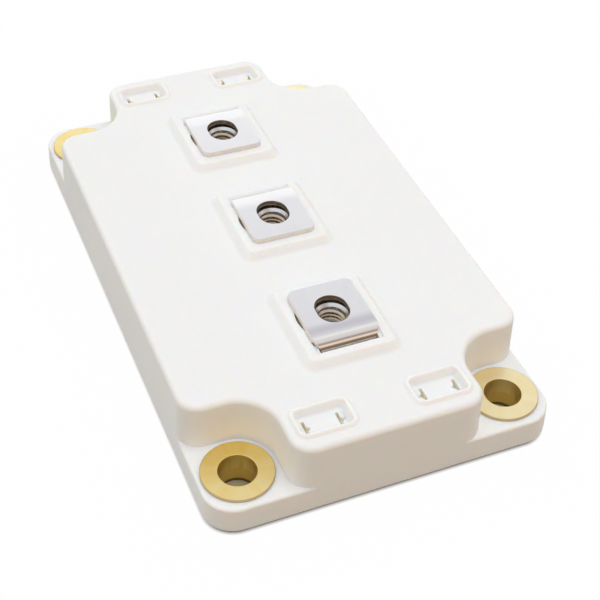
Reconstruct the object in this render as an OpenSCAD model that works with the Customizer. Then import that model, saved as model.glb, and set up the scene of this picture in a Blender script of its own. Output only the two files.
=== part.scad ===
// Low-profile power diode module: two diode legs in a moulded housing on a copper base plate.
// Millimetres. Origin at the centre of the mounting plane, X along the module, Z up.

/* [Housing] */
// Length of the housing at its foot
body_l = 108; // [98:0.5:118]
// Width of the housing at its foot
body_w = 62; // [57:0.5:68]
// Height of the housing's top face above the mounting plane
body_top = 14.7; // [14.2:0.1:18]
// Height of the ears' top faces above the mounting plane
ear_top = 5.8; // [5.5:0.1:7]
// Draft of the outer walls in degrees
draft = 2; // [0.5:0.25:3]
// Radius of the housing's upright corners at the foot
corner_r = 5.5; // [4:0.5:7]
// Radius of the shoulders beside the corner cut-outs
shoulder_r = 4; // [3:0.25:5]
// Rounding of the top edge
top_round = 1; // [0.5:0.1:1.4]
// Rounding of the ears' top edge
ear_round = 0.5; // [0.2:0.1:0.8]
// Thickness of the side walls
wall_t = 2.6; // [2.3:0.1:3]
// Thickness of the roof
roof_t = 2.8; // [2.4:0.1:3.4]
// Thickness of the two ribs under the roof
rib_t = 1.6; // [1:0.1:2.5]
// Depth of the ribs below the roof
rib_h = 2; // [1:0.1:2.4]

/* [Mounting holes] */
// Distance of the mounting holes from the housing's short ends
hole_end_gap = 7.5; // [7:0.25:9]
// Distance of the mounting holes from the housing's long sides
hole_side_gap = 7; // [6.75:0.25:8]
// Bore of the bushings and of the holes in the base plate
hole_d = 6.4; // [5.5:0.1:6.8]
// Diameter of the bushing flanges
flange_d = 12.2; // [11:0.1:12.8]
// Thickness of the bushing flanges
flange_t = 1; // [0.8:0.1:1.5]
// How far the bushing flanges stand above the ears
flange_proud = 0.5; // [0.2:0.1:0.7]
// Outside diameter of the bushing sleeves
sleeve_d = 9.4; // [8.4:0.1:10]
// Room between a flange and the wall of its cut-out
notch_gap = 0.9; // [0.5:0.1:1.3]

/* [Base plate] */
// Thickness of the base plate
plate_t = 3; // [2.5:0.1:3.6]
// How far the base plate stands below the housing
plate_proud = 0.8; // [0.4:0.1:1.2]
// How far the base plate's edge lies inside the housing's foot
plate_inset = 2; // [1.7:0.1:2.3]
// Corner radius of the base plate
plate_corner_r = 4; // [2:0.5:5]
// Room between the base plate's edge and the housing
plate_fit = 0.15; // [0.05:0.05:0.3]
// Margin of the seal from the cavity and from the base plate's edge
seal_margin = 0.15; // [0.1:0.01:0.18]
// Height of the seal between housing and base plate
seal_h = 0.8; // [0.5:0.1:1]

/* [Terminals] */
// Distance of the end terminals' screw axes from the housing's short ends
terminal_end_gap = 26.5; // [25.5:0.25:27.5]
// Width of the terminals' tabs
tab_w = 12; // [10:0.25:13]
// How much narrower than its tab an upright strip is, on each side
strip_step = 1.1; // [0.6:0.1:1.4]
// Thickness of the terminal metal
tab_t = 1; // [0.8:0.1:1.1]
// Distance from the screw axis to the tab's free edge
tab_reach = 6.5; // [5.5:0.1:7.2]
// Distance from the screw axis to the outer face of the upright strip
strip_reach = 7.4; // [7.3:0.1:7.8]
// Inside radius of the terminal bends
bend_r = 1; // [0.6:0.1:1.2]
// Radius of the tab's free corners
tab_corner_r = 1.5; // [0.5:0.1:2]
// Width of the tab's screw hole
tab_hole_w = 5.7; // [5.3:0.1:6.2]
// How much longer than wide the tab's screw hole is
tab_hole_stretch = 1; // [0:0.1:1.2]
// Length of the soldered foot, from the upright strip's outer face
foot_l = 4.5; // [3.5:0.25:4.75]

/* [Terminal pads] */
// Height of the pads under the tabs
pad_h = 1.3; // [0.8:0.1:1.6]
// Reach of a pad's top from the screw axis to the tab's free side
pad_free_reach = 8.1; // [7.5:0.1:8.6]
// Reach of a pad's top from the screw axis to the strip's side
pad_strip_reach = 9.6; // [9.2:0.1:10]
// Half the width of a pad's top
pad_half_w = 7.6; // [7.4:0.1:8.4]
// Slope of the pads' sides from upright, in degrees
pad_slope = 42; // [20:1:48]
// Corner radius of the pads at their foot
pad_corner_r = 2.2; // [1.8:0.1:3]
// Room between the strip and the inner edge of its slot
slot_gap = 0.25; // [0.15:0.05:0.4]
// Room between the strip and the outer wall of its slot
slot_outer_gap = 0.2; // [0.1:0.05:0.4]
// Width of the chamfer that leads into a slot on its outer side
slot_lead = 0.8; // [0.4:0.1:1]
// Room between the tab's edges and the ends of its slot
slot_end_gap = 0.3; // [0.2:0.1:0.6]

/* [Terminal nuts] */
// Width of the nuts across flats
nut_af = 8; // [7:0.1:8.2]
// Height of the nuts
nut_h = 4; // [3.2:0.1:4.2]
// Core diameter of the nuts' thread
nut_core_d = 4.2; // [3.3:0.1:4.4]
// Mouth diameter of the nuts' countersinks
nut_mouth_d = 5.4; // [4.8:0.1:5.8]
// How far the nuts lie below the pads' tops
nut_drop = 0.4; // [0.2:0.1:0.6]
// Room between a nut and each wall of its pocket
nut_fit = 0.15; // [0.05:0.05:0.25]
// Diameter of the round recess above each nut
recess_d = 12.7; // [12:0.1:13.4]
// Depth of the round recess
recess_h = 0.8; // [0.6:0.1:1]
// Diameter of the well for the screw's end
well_d = 5.5; // [5:0.1:6]
// Depth of the well below the nut
well_h = 3; // [2:0.1:3.2]
// Wall of the bosses that hold the nuts
boss_wall = 1.2; // [0.8:0.1:1.3]

/* [Signal pockets] */
// Distance of the pockets' centres from the housing's ends
pocket_inset = 6.2; // [5.8:0.1:7]
// Distance of the pockets from the sides of the block that carries them
pocket_side_gap = 2.45; // [2.35:0.05:4]
// Inside width of the pockets along the module
pocket_w = 5.2; // [4.4:0.1:5.4]
// Inside length of the pockets across the module
pocket_l = 9; // [8.6:0.1:9.2]
// Corner radius inside the pockets
pocket_r = 1; // [0.5:0.1:2]
// Depth of the pockets below the top face
pocket_h = 1; // [0.4:0.1:1.2]
// Height of the rims round the pockets
rim_h = 0.5; // [0.2:0.1:0.8]
// Width of the rims at their tops
rim_w = 0.4; // [0.2:0.1:0.5]
// Length of the pin slots
pin_slot_l = 2.9; // [2:0.1:3.4]
// Width of the pin slots
pin_slot_w = 0.5; // [0.4:0.1:0.8]
// Depth of the pin slots below the pocket floor
pin_slot_h = 1.1; // [0.5:0.1:1.2]
// Distance between the two pin slots of a pocket
pin_pitch = 5.9; // [5:0.1:6.2]
// How far the pin slots lie off the pockets' middles along the module
pin_shift = 0.4; // [0:0.1:0.6]
// Run of the ramp that leads into each pin slot
pin_ramp = 0.9; // [0.5:0.1:1]

/* [Inner stack] */
// Thickness of the solder under the ceramic boards
board_solder_t = 0.2; // [0.1:0.05:0.3]
// Thickness of the copper on both faces of the boards
board_copper_t = 0.3; // [0.2:0.05:0.4]
// Thickness of the ceramic
ceramic_t = 0.6; // [0.4:0.05:1]
// Room between the boards and the cavity's short walls
board_end_gap = 1.1; // [0.6:0.1:1.6]
// Room between the boards and the cavity's long walls
board_side_gap = 5.9; // [3:0.1:7]
// Gap between the two ceramic boards
board_gap = 3; // [2:0.25:4]
// Bare ceramic border round the copper
copper_border = 1; // [0.6:0.1:1.4]
// Gap between the copper fields of one board
copper_gap = 1; // [0.6:0.1:1.5]
// Share of a board's length that the field under the diode chips takes
chip_field_share = 0.53; // [0.5:0.01:0.54]
// Gap between neighbouring chips
chip_gap = 1.6; // [1.2:0.1:2.4]
// Distance of the outer chips from the ends of their field
chip_side_gap = 2.6; // [2:0.1:4]
// Thickness of the diode chips
chip_t = 0.4; // [0.2:0.05:0.5]
// Thickness of the solder under the chips
chip_solder_t = 0.1; // [0.05:0.05:0.2]
// Thickness of the copper clips
clip_t = 0.6; // [0.4:0.05:0.8]
// Length of the clips' feet
clip_foot_l = 3; // [2:0.1:3.5]
// Width of the slits between the fingers of a clip
clip_slit = 2.4; // [1.8:0.1:3]
// Distance of each link from the middle terminal's strip
link_side_gap = 2; // [1:0.1:3]
// Distance of each link from the ends of the copper fields
link_edge_gap = 3; // [1:0.1:5]
// Length of the links' feet
link_foot_l = 3; // [2:0.1:3.4]
// Height of the links' arches above the copper
link_rise = 0.6; // [0.4:0.1:1]
// Height of the gel above the base plate
gel_h = 5.4; // [5:0.1:5.8]

/* [Hidden] */
$fn = 96;
// Overlap that carries a cut past a face or a boss into its wall
cut = 0.5;
// Straight steps in each rounded edge
arc_steps = 6;
legs = [1, 2];
chips_per_leg = 4;

// Heights of the housing and the terminals
foot_z = plate_proud;
cavity_top = body_top - roof_t;
pad_top = body_top + pad_h;
outer_bend_r = bend_r + tab_t;
strip_w = tab_w - 2 * strip_step;

// Lean of the drafted walls from the foot to the ears, from the ears to the top and in all
ear_lean = (ear_top - foot_z) * tan(draft);
wall_lean = (body_top - ear_top) * tan(draft);
top_lean = ear_lean + wall_lean;

// Places of the mounting holes and the terminals
hole_pitch_x = body_l - 2 * hole_end_gap;
hole_pitch_y = body_w - 2 * hole_side_gap;
terminal_pitch = body_l / 2 - terminal_end_gap;

// Plan of the housing: a wide block and a long block cross between the corner cut-outs
notch_r = flange_d / 2 + notch_gap;
notch_bite = 0.05;
wide_half_l = hole_pitch_x / 2 - notch_r + notch_bite;
long_half_w = hole_pitch_y / 2 - notch_r + notch_bite;

// Plan of the cavity, one wall inside the housing's top edge
cavity_wide = [wide_half_l - wall_lean - wall_t, body_w / 2 - top_lean - wall_t];
cavity_long = [body_l / 2 - top_lean - wall_t, long_half_w - wall_lean - wall_t];
cavity_r = 2;
seal_w = wall_t + top_lean - plate_inset - 2 * seal_margin;

// Base plate and bushings
plate_l = body_l - 2 * plate_inset;
plate_w = body_w - 2 * plate_inset;
flange_top = ear_top + flange_proud;
flange_chamfer = 0.25;

// Pads, slots and signal pockets
pad_lean = (pad_h + cut) * tan(pad_slope);
rim_lean = (rim_h + cut) * tan(pad_slope);
pocket_x = body_l / 2 - pocket_inset;
pocket_y = long_half_w - pocket_side_gap - pocket_l / 2;
pin_ramp_h = 0.8;

// Nuts and the bosses that hold them
nut_floor = pad_top - nut_drop - nut_h;
nut_pocket_d = (nut_af + 2 * nut_fit) / cos(30);
nut_chamfer_d = 0.95 * nut_af;
boss_d = nut_pocket_d + 2 * boss_wall;
boss_floor = nut_floor - well_h - boss_wall;

// Levels of the inner stack
back_copper_z = plate_t + board_solder_t;
ceramic_z = back_copper_z + board_copper_t;
field_z = ceramic_z + ceramic_t;
field_top = field_z + board_copper_t;
chip_z = field_top + chip_solder_t;
chip_top = chip_z + chip_t;

// Plan of the boards and the chips on them
board_l = cavity_wide[0] - board_gap / 2 - board_end_gap;
board_w = 2 * (cavity_wide[1] - board_side_gap);
copper_w = board_w - 2 * copper_border;
chip_field_l = chip_field_share * board_l;
chip_pitch = (copper_w - 2 * chip_side_gap + chip_gap) / chips_per_leg;
chip_s = chip_pitch - chip_gap;

// Places along a board, from its left edge
landing_field_start = copper_border + chip_field_l + copper_gap;
landing_field_l = board_l - copper_border - landing_field_start;
chip_start = copper_border + chip_field_l - copper_gap - chip_s;
clip_edge = 0.5;
clip_joggle = [landing_field_start - 1.2, landing_field_start + 0.6];
link_y = tab_w / 2 + link_side_gap;
link_w = copper_w / 2 - link_y - link_edge_gap;
link_gap_half = board_gap / 2 + copper_border;

// Outline of a wall that leans inwards from its reach at the foot, with a rounded or a plain top edge
function wall_points(reach, z0, z1, lean, round_r) =
    let (
        zc = z1 - round_r,
        xc = reach - (zc - z0) * tan(lean) - round_r / cos(lean),
        steps = round_r > 0 ? arc_steps : 0
    )
    concat(
        [[reach, z0]],
        [for (k = [0:steps])
            let (a = lean + (90 - lean) * k / max(steps, 1))
            [xc + round_r * cos(a), zc + round_r * sin(a)]]
    );

// Places of the four mounting holes, counted from the corner at -X, -Y
function hole_place(i) =
    [(i > 2 ? 1 : -1) * hole_pitch_x / 2, (i % 2 == 0 ? 1 : -1) * hole_pitch_y / 2, 0];

// Left edge of a ceramic board
function board_start(i) = i == 1 ? -board_gap / 2 - board_l : board_gap / 2;

// Rectangle with round corners, centred
module rounded_rect(l, w, r) {
    square([l - 2 * r, w], center = true);
    square([l, w - 2 * r], center = true);
    for (sx = [-1, 1], sy = [-1, 1])
        translate([sx * (l / 2 - r), sy * (w / 2 - r)])
            circle(r);
}

// Section across a whole drafted block
module slab_section(reach, z0, z1, lean, round_r) {
    right = wall_points(reach, z0, z1, lean, round_r);
    left = [for (k = [len(right) - 1:-1:0]) [-right[k][0], right[k][1]]];
    polygon(concat(right, left));
}

// Block with round upright corners, leaning walls and a rounded top edge where round_r isn't 0;
// its sizes are those at the foot
module drafted_block(half_l, half_w, corner, z0, z1, lean, round_r) {
    straight_l = half_l - corner;
    straight_w = half_w - corner;
    for (sx = [-1, 1], sy = [-1, 1])
        translate([sx * straight_l, sy * straight_w, 0])
            rotate_extrude()
                polygon(concat([[0, z0]], wall_points(corner, z0, z1, lean, round_r), [[0, z1]]));
    rotate([90, 0, 0])
        linear_extrude(2 * straight_w, center = true)
            slab_section(half_l, z0, z1, lean, round_r);
    rotate([90, 0, 90])
        linear_extrude(2 * straight_l, center = true)
            slab_section(half_w, z0, z1, lean, round_r);
}

// Moves what it holds to a terminal's screw axis, with the upright strip on the -X side before turning
module at_terminal(i) {
    translate([(i - 2) * terminal_pitch, 0, 0])
        rotate(i == 3 ? 180 : 0)
            children();
}

// Moves what it holds to each signal pocket, turned so that +Y points away from the long axis
module at_pockets() {
    for (sx = [-1, 1], sy = [-1, 1])
        translate([sx * pocket_x, sy * pocket_y, 0])
            if (sy > 0)
                children();
            else
                mirror([0, 1, 0])
                    children();
}

// Plan of the cavity, grown outwards on all sides
module cavity_outline(grow) {
    for (half = [cavity_wide, cavity_long])
        rounded_rect(2 * (half[0] + grow), 2 * (half[1] + grow), cavity_r + grow);
}

// Fill that rounds a cut-out's inner corner about its bushing
module notch_fill(i) {
    place = hole_place(i);
    wall = wall_points(notch_r, foot_z, body_top, draft, top_round);
    outer_r = 2 * notch_r - ear_lean;
    side = outer_r - notch_r / 2;
    translate(place)
        intersection() {
            rotate_extrude()
                polygon(concat(
                    [for (p = wall) [outer_r - p[0], p[1]]],
                    [[outer_r, body_top], [outer_r, foot_z]]
                ));
            translate([place[0] > 0 ? -side : 0, place[1] > 0 ? -side : 0, foot_z])
                cube([side, side, body_top - foot_z]);
        }
}

// Sloping pad that carries a terminal tab
module terminal_pad() {
    half_l = (pad_free_reach + pad_strip_reach) / 2 + pad_lean;
    translate([(pad_free_reach - pad_strip_reach) / 2, 0, 0])
        drafted_block(half_l, pad_half_w + pad_lean, pad_corner_r + cut * tan(pad_slope),
            body_top - cut, pad_top, pad_slope, 0);
}

// Raised rim round a signal pocket
module pocket_rim() {
    reach = rim_w + rim_lean;
    drafted_block(pocket_w / 2 + reach, pocket_l / 2 + reach, pocket_r + reach,
        body_top - cut, body_top + rim_h, pad_slope, 0);
}

// Recess of a signal pocket with its two pin slots
module pocket_recess() {
    floor_z = body_top - pocket_h;
    translate([0, 0, floor_z])
        linear_extrude(pocket_h + rim_h + cut)
            rounded_rect(pocket_w, pocket_l, pocket_r);
    for (s = [-1, 1])
        translate([pin_shift, s * pin_pitch / 2, 0]) {
            translate([-pin_slot_l / 2, 0, floor_z - pin_slot_h])
                cube([pin_slot_l, pin_slot_w, pin_slot_h + cut]);
            translate([0, 0, floor_z - pin_ramp_h])
                linear_extrude(pin_ramp_h + cut)
                    polygon([[-pin_slot_l / 4, cut / 2], [0, -pin_ramp], [pin_slot_l / 4, cut / 2]]);
        }
}

// Boss under the roof that holds a nut and the end of its screw
module nut_boss() {
    translate([0, 0, boss_floor])
        cylinder(d = boss_d, h = cavity_top - boss_floor + cut);
}

// Space for a nut, its screw and the upright strip
module terminal_cuts() {
    translate([0, 0, pad_top - recess_h])
        cylinder(d = recess_d, h = recess_h + cut);
    translate([0, 0, nut_floor])
        cylinder(d = nut_pocket_d, h = nut_h + nut_drop, $fn = 6);
    translate([0, 0, nut_floor - well_h])
        cylinder(d = well_d, h = well_h + cut);
    slot_w = tab_w + 2 * slot_end_gap;
    slot_outer = -strip_reach - slot_outer_gap;
    slot_inner = -strip_reach + tab_t + slot_gap;
    relief = -strip_reach + outer_bend_r + slot_gap;
    rotate([90, 0, 0])
        linear_extrude(slot_w, center = true)
            polygon([
                [slot_outer, cavity_top - cut],
                [slot_inner, cavity_top - cut],
                [slot_inner, pad_top - bend_r],
                [relief, pad_top],
                [relief, pad_top + cut],
                [slot_outer - slot_lead, pad_top + cut],
                [slot_outer - slot_lead, pad_top],
                [slot_outer, pad_top - slot_lead]
            ]);
}

// Outside of the moulding: ears, crossing blocks, pads and rims
module housing_outside() {
    drafted_block(body_l / 2, body_w / 2, corner_r, foot_z, ear_top, draft, ear_round);
    drafted_block(wide_half_l + ear_lean, body_w / 2, shoulder_r + ear_lean,
        foot_z, body_top, draft, top_round);
    drafted_block(body_l / 2, long_half_w + ear_lean, shoulder_r + ear_lean,
        foot_z, body_top, draft, top_round);
    for (i = [1:4])
        notch_fill(i);
    for (i = [1:3])
        at_terminal(i)
            terminal_pad();
    at_pockets()
        pocket_rim();
}

// Seat of a bushing in its ear
module bushing_seat() {
    translate([0, 0, foot_z])
        cylinder(d = sleeve_d, h = ear_top);
    translate([0, 0, flange_top - flange_t])
        cylinder(d = flange_d, h = flange_t);
}

module housing() {
    color("ivory")
        difference() {
            union() {
                difference() {
                    housing_outside();
                    translate([0, 0, foot_z - cut])
                        linear_extrude(cavity_top - foot_z + cut)
                            cavity_outline(0);
                }
                for (i = [1:3])
                    at_terminal(i)
                        nut_boss();
                for (s = [-1, 1])
                    translate([s * terminal_pitch / 2, 0, cavity_top + (cut - rib_h) / 2])
                        cube([rib_t, 2 * (cavity_wide[1] + cut), rib_h + cut], center = true);
            }
            translate([0, 0, foot_z - cut])
                linear_extrude(plate_t - foot_z + cut)
                    plate_outline(plate_fit);
            translate([0, 0, plate_t - cut])
                linear_extrude(seal_h + cut)
                    difference() {
                        cavity_outline(seal_margin + seal_w);
                        cavity_outline(seal_margin);
                    }
            for (i = [1:4])
                translate(hole_place(i))
                    bushing_seat();
            for (i = [1:3])
                at_terminal(i)
                    terminal_cuts();
            at_pockets()
                pocket_recess();
        }
}

// Plan of the base plate, grown outwards on all sides
module plate_outline(grow) {
    rounded_rect(plate_l + 2 * grow, plate_w + 2 * grow, plate_corner_r + grow);
}

module base_plate() {
    color("peru")
        linear_extrude(plate_t)
            difference() {
                plate_outline(0);
                for (i = [1:4])
                    translate(hole_place(i))
                        circle(d = hole_d);
            }
}

module seal_bead() {
    color("dimgray")
        translate([0, 0, plate_t])
            linear_extrude(seal_h)
                difference() {
                    cavity_outline(seal_margin + seal_w);
                    cavity_outline(seal_margin);
                }
}

module bushing(i) {
    bore = hole_d / 2;
    sleeve = sleeve_d / 2;
    flange = flange_d / 2;
    under = flange_top - flange_t;
    color("goldenrod")
        translate(hole_place(i))
            rotate_extrude()
                polygon([
                    [bore, plate_t],
                    [sleeve, plate_t],
                    [sleeve, under],
                    [flange, under],
                    [flange, flange_top - flange_chamfer],
                    [flange - flange_chamfer, flange_top],
                    [bore + flange_chamfer, flange_top],
                    [bore, flange_top - flange_chamfer]
                ]);
}

// Quarter turn of a strip of given width from the -X side to the top, about the Y axis
module strip_bend(width) {
    translate([0, width / 2, 0])
        mirror([1, 0, 0])
            rotate([90, 0, 0])
                rotate_extrude(angle = 90)
                    translate([bend_r, 0])
                        square([tab_t, width]);
}

// Bend under a tab, tapered in plan from the tab's width to the upright strip's
module tab_bend() {
    intersection() {
        strip_bend(tab_w);
        translate([0, 0, -cut])
            linear_extrude(outer_bend_r + 2 * cut)
                polygon([
                    [cut, -tab_w / 2 - cut],
                    [0, -tab_w / 2],
                    [-outer_bend_r, -strip_w / 2],
                    [-outer_bend_r - cut, -strip_w / 2],
                    [-outer_bend_r - cut, strip_w / 2],
                    [-outer_bend_r, strip_w / 2],
                    [0, tab_w / 2],
                    [cut, tab_w / 2 + cut]
                ]);
    }
}

// Plan of the flat tab, with its stretched screw hole
module tab_outline() {
    start = -strip_reach + outer_bend_r;
    straight = tab_reach - tab_corner_r;
    difference() {
        union() {
            translate([start, -tab_w / 2])
                square([straight - start, tab_w]);
            translate([start, tab_corner_r - tab_w / 2])
                square([tab_reach - start, tab_w - 2 * tab_corner_r]);
            for (s = [-1, 1])
                translate([straight, s * (tab_w / 2 - tab_corner_r)])
                    circle(tab_corner_r);
        }
        square([tab_hole_stretch, tab_hole_w], center = true);
        for (s = [-1, 1])
            translate([s * tab_hole_stretch / 2, 0])
                circle(d = tab_hole_w);
    }
}

module terminal(i) {
    bend_x = -strip_reach + outer_bend_r;
    color("silver")
        at_terminal(i) {
            translate([0, 0, pad_top])
                linear_extrude(tab_t)
                    tab_outline();
            translate([bend_x, 0, pad_top - bend_r])
                tab_bend();
            translate([-strip_reach, -strip_w / 2, field_top + outer_bend_r])
                cube([tab_t, strip_w, pad_top - bend_r - field_top - outer_bend_r]);
            translate([bend_x, 0, field_top + outer_bend_r])
                mirror([0, 0, 1])
                    strip_bend(strip_w);
            translate([bend_x, -strip_w / 2, field_top])
                cube([foot_l - outer_bend_r, strip_w, tab_t]);
        }
}

module terminal_nut(i) {
    corner = nut_af / cos(30) / 2;
    chamfer_r = nut_chamfer_d / 2;
    chamfer_h = (corner - chamfer_r) * tan(30);
    mouth_h = (nut_mouth_d - nut_core_d) / 2;
    color("gainsboro")
        at_terminal(i)
            translate([0, 0, nut_floor])
                difference() {
                    intersection() {
                        cylinder(r = corner, h = nut_h, $fn = 6);
                        rotate_extrude()
                            polygon([
                                [0, 0],
                                [chamfer_r, 0],
                                [corner, chamfer_h],
                                [corner, nut_h - chamfer_h],
                                [chamfer_r, nut_h],
                                [0, nut_h]
                            ]);
                    }
                    rotate_extrude()
                        polygon([
                            [0, -cut],
                            [nut_mouth_d / 2, -cut],
                            [nut_mouth_d / 2, 0],
                            [nut_core_d / 2, mouth_h],
                            [nut_core_d / 2, nut_h - mouth_h],
                            [nut_mouth_d / 2, nut_h],
                            [nut_mouth_d / 2, nut_h + cut],
                            [0, nut_h + cut]
                        ]);
                }
}

// Flat layer on a board, from its start and length along the board
module board_layer(i, start, l, w, z, t) {
    translate([board_start(i) + start, -w / 2, z])
        cube([l, w, t]);
}

module board_solder(i) {
    color("slategray")
        board_layer(i, copper_border, board_l - 2 * copper_border, copper_w, plate_t, board_solder_t);
}

module back_copper(i) {
    color("chocolate")
        board_layer(i, copper_border, board_l - 2 * copper_border, copper_w, back_copper_z, board_copper_t);
}

module ceramic_board(i) {
    color("white")
        board_layer(i, 0, board_l, board_w, ceramic_z, ceramic_t);
}

module chip_field(i) {
    color("chocolate")
        board_layer(i, copper_border, chip_field_l, copper_w, field_z, board_copper_t);
}

module landing_field(i) {
    color("chocolate")
        board_layer(i, landing_field_start, landing_field_l, copper_w, field_z, board_copper_t);
}

// Moves what it holds to the corner of a chip's place
module at_chip(i, k) {
    translate([board_start(i) + chip_start, (k - (chips_per_leg + 1) / 2) * chip_pitch - chip_s / 2, 0])
        children();
}

module diode_chip(i, k) {
    color("darkslategray")
        at_chip(i, k)
            translate([0, 0, chip_z])
                cube([chip_s, chip_s, chip_t]);
}

module chip_solder(i, k) {
    color("slategray")
        at_chip(i, k)
            translate([0, 0, field_top])
                cube([chip_s, chip_s, chip_solder_t]);
}

// Copper clip from the chips' top faces down to the landing field, with one finger to a chip
module anode_clip(i) {
    finger_w = chip_pitch - clip_slit;
    clip_w = (chips_per_leg - 1) * chip_pitch + finger_w;
    tip = chip_start + clip_edge;
    heel = clip_joggle[1] + clip_foot_l;
    color("chocolate")
        translate([board_start(i), 0, 0])
            difference() {
                rotate([90, 0, 0])
                    linear_extrude(clip_w, center = true)
                        polygon([
                            [tip, chip_top],
                            [clip_joggle[0], chip_top],
                            [clip_joggle[1], field_top],
                            [heel, field_top],
                            [heel, field_top + clip_t],
                            [clip_joggle[1], field_top + clip_t],
                            [clip_joggle[0], chip_top + clip_t],
                            [tip, chip_top + clip_t]
                        ]);
                for (k = [1:chips_per_leg - 1])
                    translate([tip - cut, (k - chips_per_leg / 2) * chip_pitch - clip_slit / 2, field_top])
                        cube([clip_joggle[0] - tip + cut, clip_slit, chip_top + clip_t]);
            }
}

// Arched copper link between the boards, one on each side of the middle terminal
module board_link(i) {
    foot_end = link_gap_half + link_foot_l;
    arch = field_top + link_rise;
    right = [
        [link_gap_half - link_rise, arch],
        [link_gap_half + copper_border, field_top],
        [foot_end, field_top],
        [foot_end, field_top + clip_t],
        [link_gap_half + copper_border, field_top + clip_t],
        [link_gap_half - link_rise, arch + clip_t]
    ];
    left = [for (k = [len(right) - 1:-1:0]) [-right[k][0], right[k][1]]];
    color("chocolate")
        translate([0, (i == 1 ? -1 : 1) * (link_y + link_w / 2), 0])
            rotate([90, 0, 0])
                linear_extrude(link_w, center = true)
                    polygon(concat(right, left));
}

// Soft gel that covers the stack, up to a level below the roof
module gel_fill() {
    color("azure")
        difference() {
            translate([0, 0, plate_t])
                linear_extrude(gel_h)
                    cavity_outline(0);
            for (i = [1:3]) {
                terminal(i);
                at_terminal(i)
                    nut_boss();
            }
            for (i = legs) {
                board_solder(i);
                back_copper(i);
                ceramic_board(i);
                chip_field(i);
                landing_field(i);
                anode_clip(i);
                board_link(i);
                for (k = [1:chips_per_leg]) {
                    chip_solder(i, k);
                    diode_chip(i, k);
                }
            }
        }
}

housing();
base_plate();
seal_bead();
gel_fill();
for (i = [1:4]) {
    bushing(i);
}
for (i = [1:3]) {
    terminal(i);
    terminal_nut(i);
}
for (i = legs) {
    ceramic_board(i);
    back_copper(i);
    board_solder(i);
    chip_field(i);
    landing_field(i);
    anode_clip(i);
    board_link(i);
    for (k = [1:chips_per_leg]) {
        diode_chip(i, k);
        chip_solder(i, k);
    }
}
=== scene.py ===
"""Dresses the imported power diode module.

The moulding is softened, the terminals are bent and plated, the nuts are threaded and the bushings
are turned.
"""

import logging
import math
from dataclasses import dataclass
from enum import Enum
from typing import Callable, Dict, Iterable, List, Optional, Sequence, Tuple, Union

import bpy
from mathutils import Matrix, Vector


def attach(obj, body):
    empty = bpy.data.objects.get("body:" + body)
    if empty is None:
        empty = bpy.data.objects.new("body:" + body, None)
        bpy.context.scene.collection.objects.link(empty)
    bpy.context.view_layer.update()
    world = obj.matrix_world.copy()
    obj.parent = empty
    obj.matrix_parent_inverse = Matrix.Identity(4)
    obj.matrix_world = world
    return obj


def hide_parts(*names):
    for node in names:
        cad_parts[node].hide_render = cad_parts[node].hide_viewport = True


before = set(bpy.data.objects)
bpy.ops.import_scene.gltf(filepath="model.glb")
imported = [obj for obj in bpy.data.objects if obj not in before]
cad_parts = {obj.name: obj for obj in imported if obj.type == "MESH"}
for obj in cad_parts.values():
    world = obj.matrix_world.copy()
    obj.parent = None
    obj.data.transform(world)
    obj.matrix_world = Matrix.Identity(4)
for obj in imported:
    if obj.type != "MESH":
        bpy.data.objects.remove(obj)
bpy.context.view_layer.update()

LOG = logging.getLogger("module")

Colour = Tuple[float, float, float]
Point = Tuple[float, float, float]
Pair = Tuple[float, float]
Section = List[Pair]
Term = Union["Wire", float]

MM = 0.001
ORIGIN: Point = (0.0, 0.0, 0.0)
UP: Point = (0.0, 0.0, 1.0)
EVEN: Point = (1.0, 1.0, 1.0)
WHITE: Colour = (1.0, 1.0, 1.0)

# Distance below which drawn points are one
MERGE = 1e-6

# Screw axes of the three terminals, and the bushing in each corner
PITCH = 27.5 * MM
AXES_X = (-PITCH, 0.0, PITCH)
CORNER_AT: Pair = (46.5 * MM, 24.0 * MM)

# Heights that several pieces share
ROOF = 14.7 * MM
PAD_TOP = 16.0 * MM


class Slot(Enum):
    """Names of the record's material slots, one for each kind of the scene's own pieces."""

    HOUSING = "housing_plastic"
    PLATE = "plate_copper"
    BRASS = "bushing_brass"
    TERMINAL = "terminal_tin"
    NUT = "nut_steel"


class Wire:
    """A shader socket that takes part in Python arithmetic."""

    def __init__(self, board: "NodeBoard", socket: bpy.types.NodeSocket) -> None:
        """Keeps a socket and the board it is on."""
        self.board = board
        self.socket = socket

    def maths(self, operation: str, *others: Term) -> "Wire":
        """Result of a Math node that starts with this value."""
        return self.board.maths(operation, self, *others)

    def clamped(self) -> "Wire":
        """The value kept between 0 and 1."""
        return self.maths("MAXIMUM", 0.0).maths("MINIMUM", 1.0)

    def above(self, limit: float) -> "Wire":
        """1 over a limit and 0 under it."""
        return self.maths("GREATER_THAN", limit)

    def below(self, limit: float) -> "Wire":
        """1 under a limit and 0 over it."""
        return self.maths("LESS_THAN", limit)

    def __add__(self, other: Term) -> "Wire":
        """Sum."""
        return self.maths("ADD", other)

    __radd__ = __add__

    def __sub__(self, other: Term) -> "Wire":
        """Difference."""
        return self.maths("SUBTRACT", other)

    def __rsub__(self, other: float) -> "Wire":
        """Difference from a number."""
        return self.board.maths("SUBTRACT", other, self)

    def __mul__(self, other: Term) -> "Wire":
        """Product."""
        return self.maths("MULTIPLY", other)

    __rmul__ = __mul__

    def __truediv__(self, other: Term) -> "Wire":
        """Quotient."""
        return self.maths("DIVIDE", other)

    def __abs__(self) -> "Wire":
        """Size without sign."""
        return self.maths("ABSOLUTE")


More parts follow.
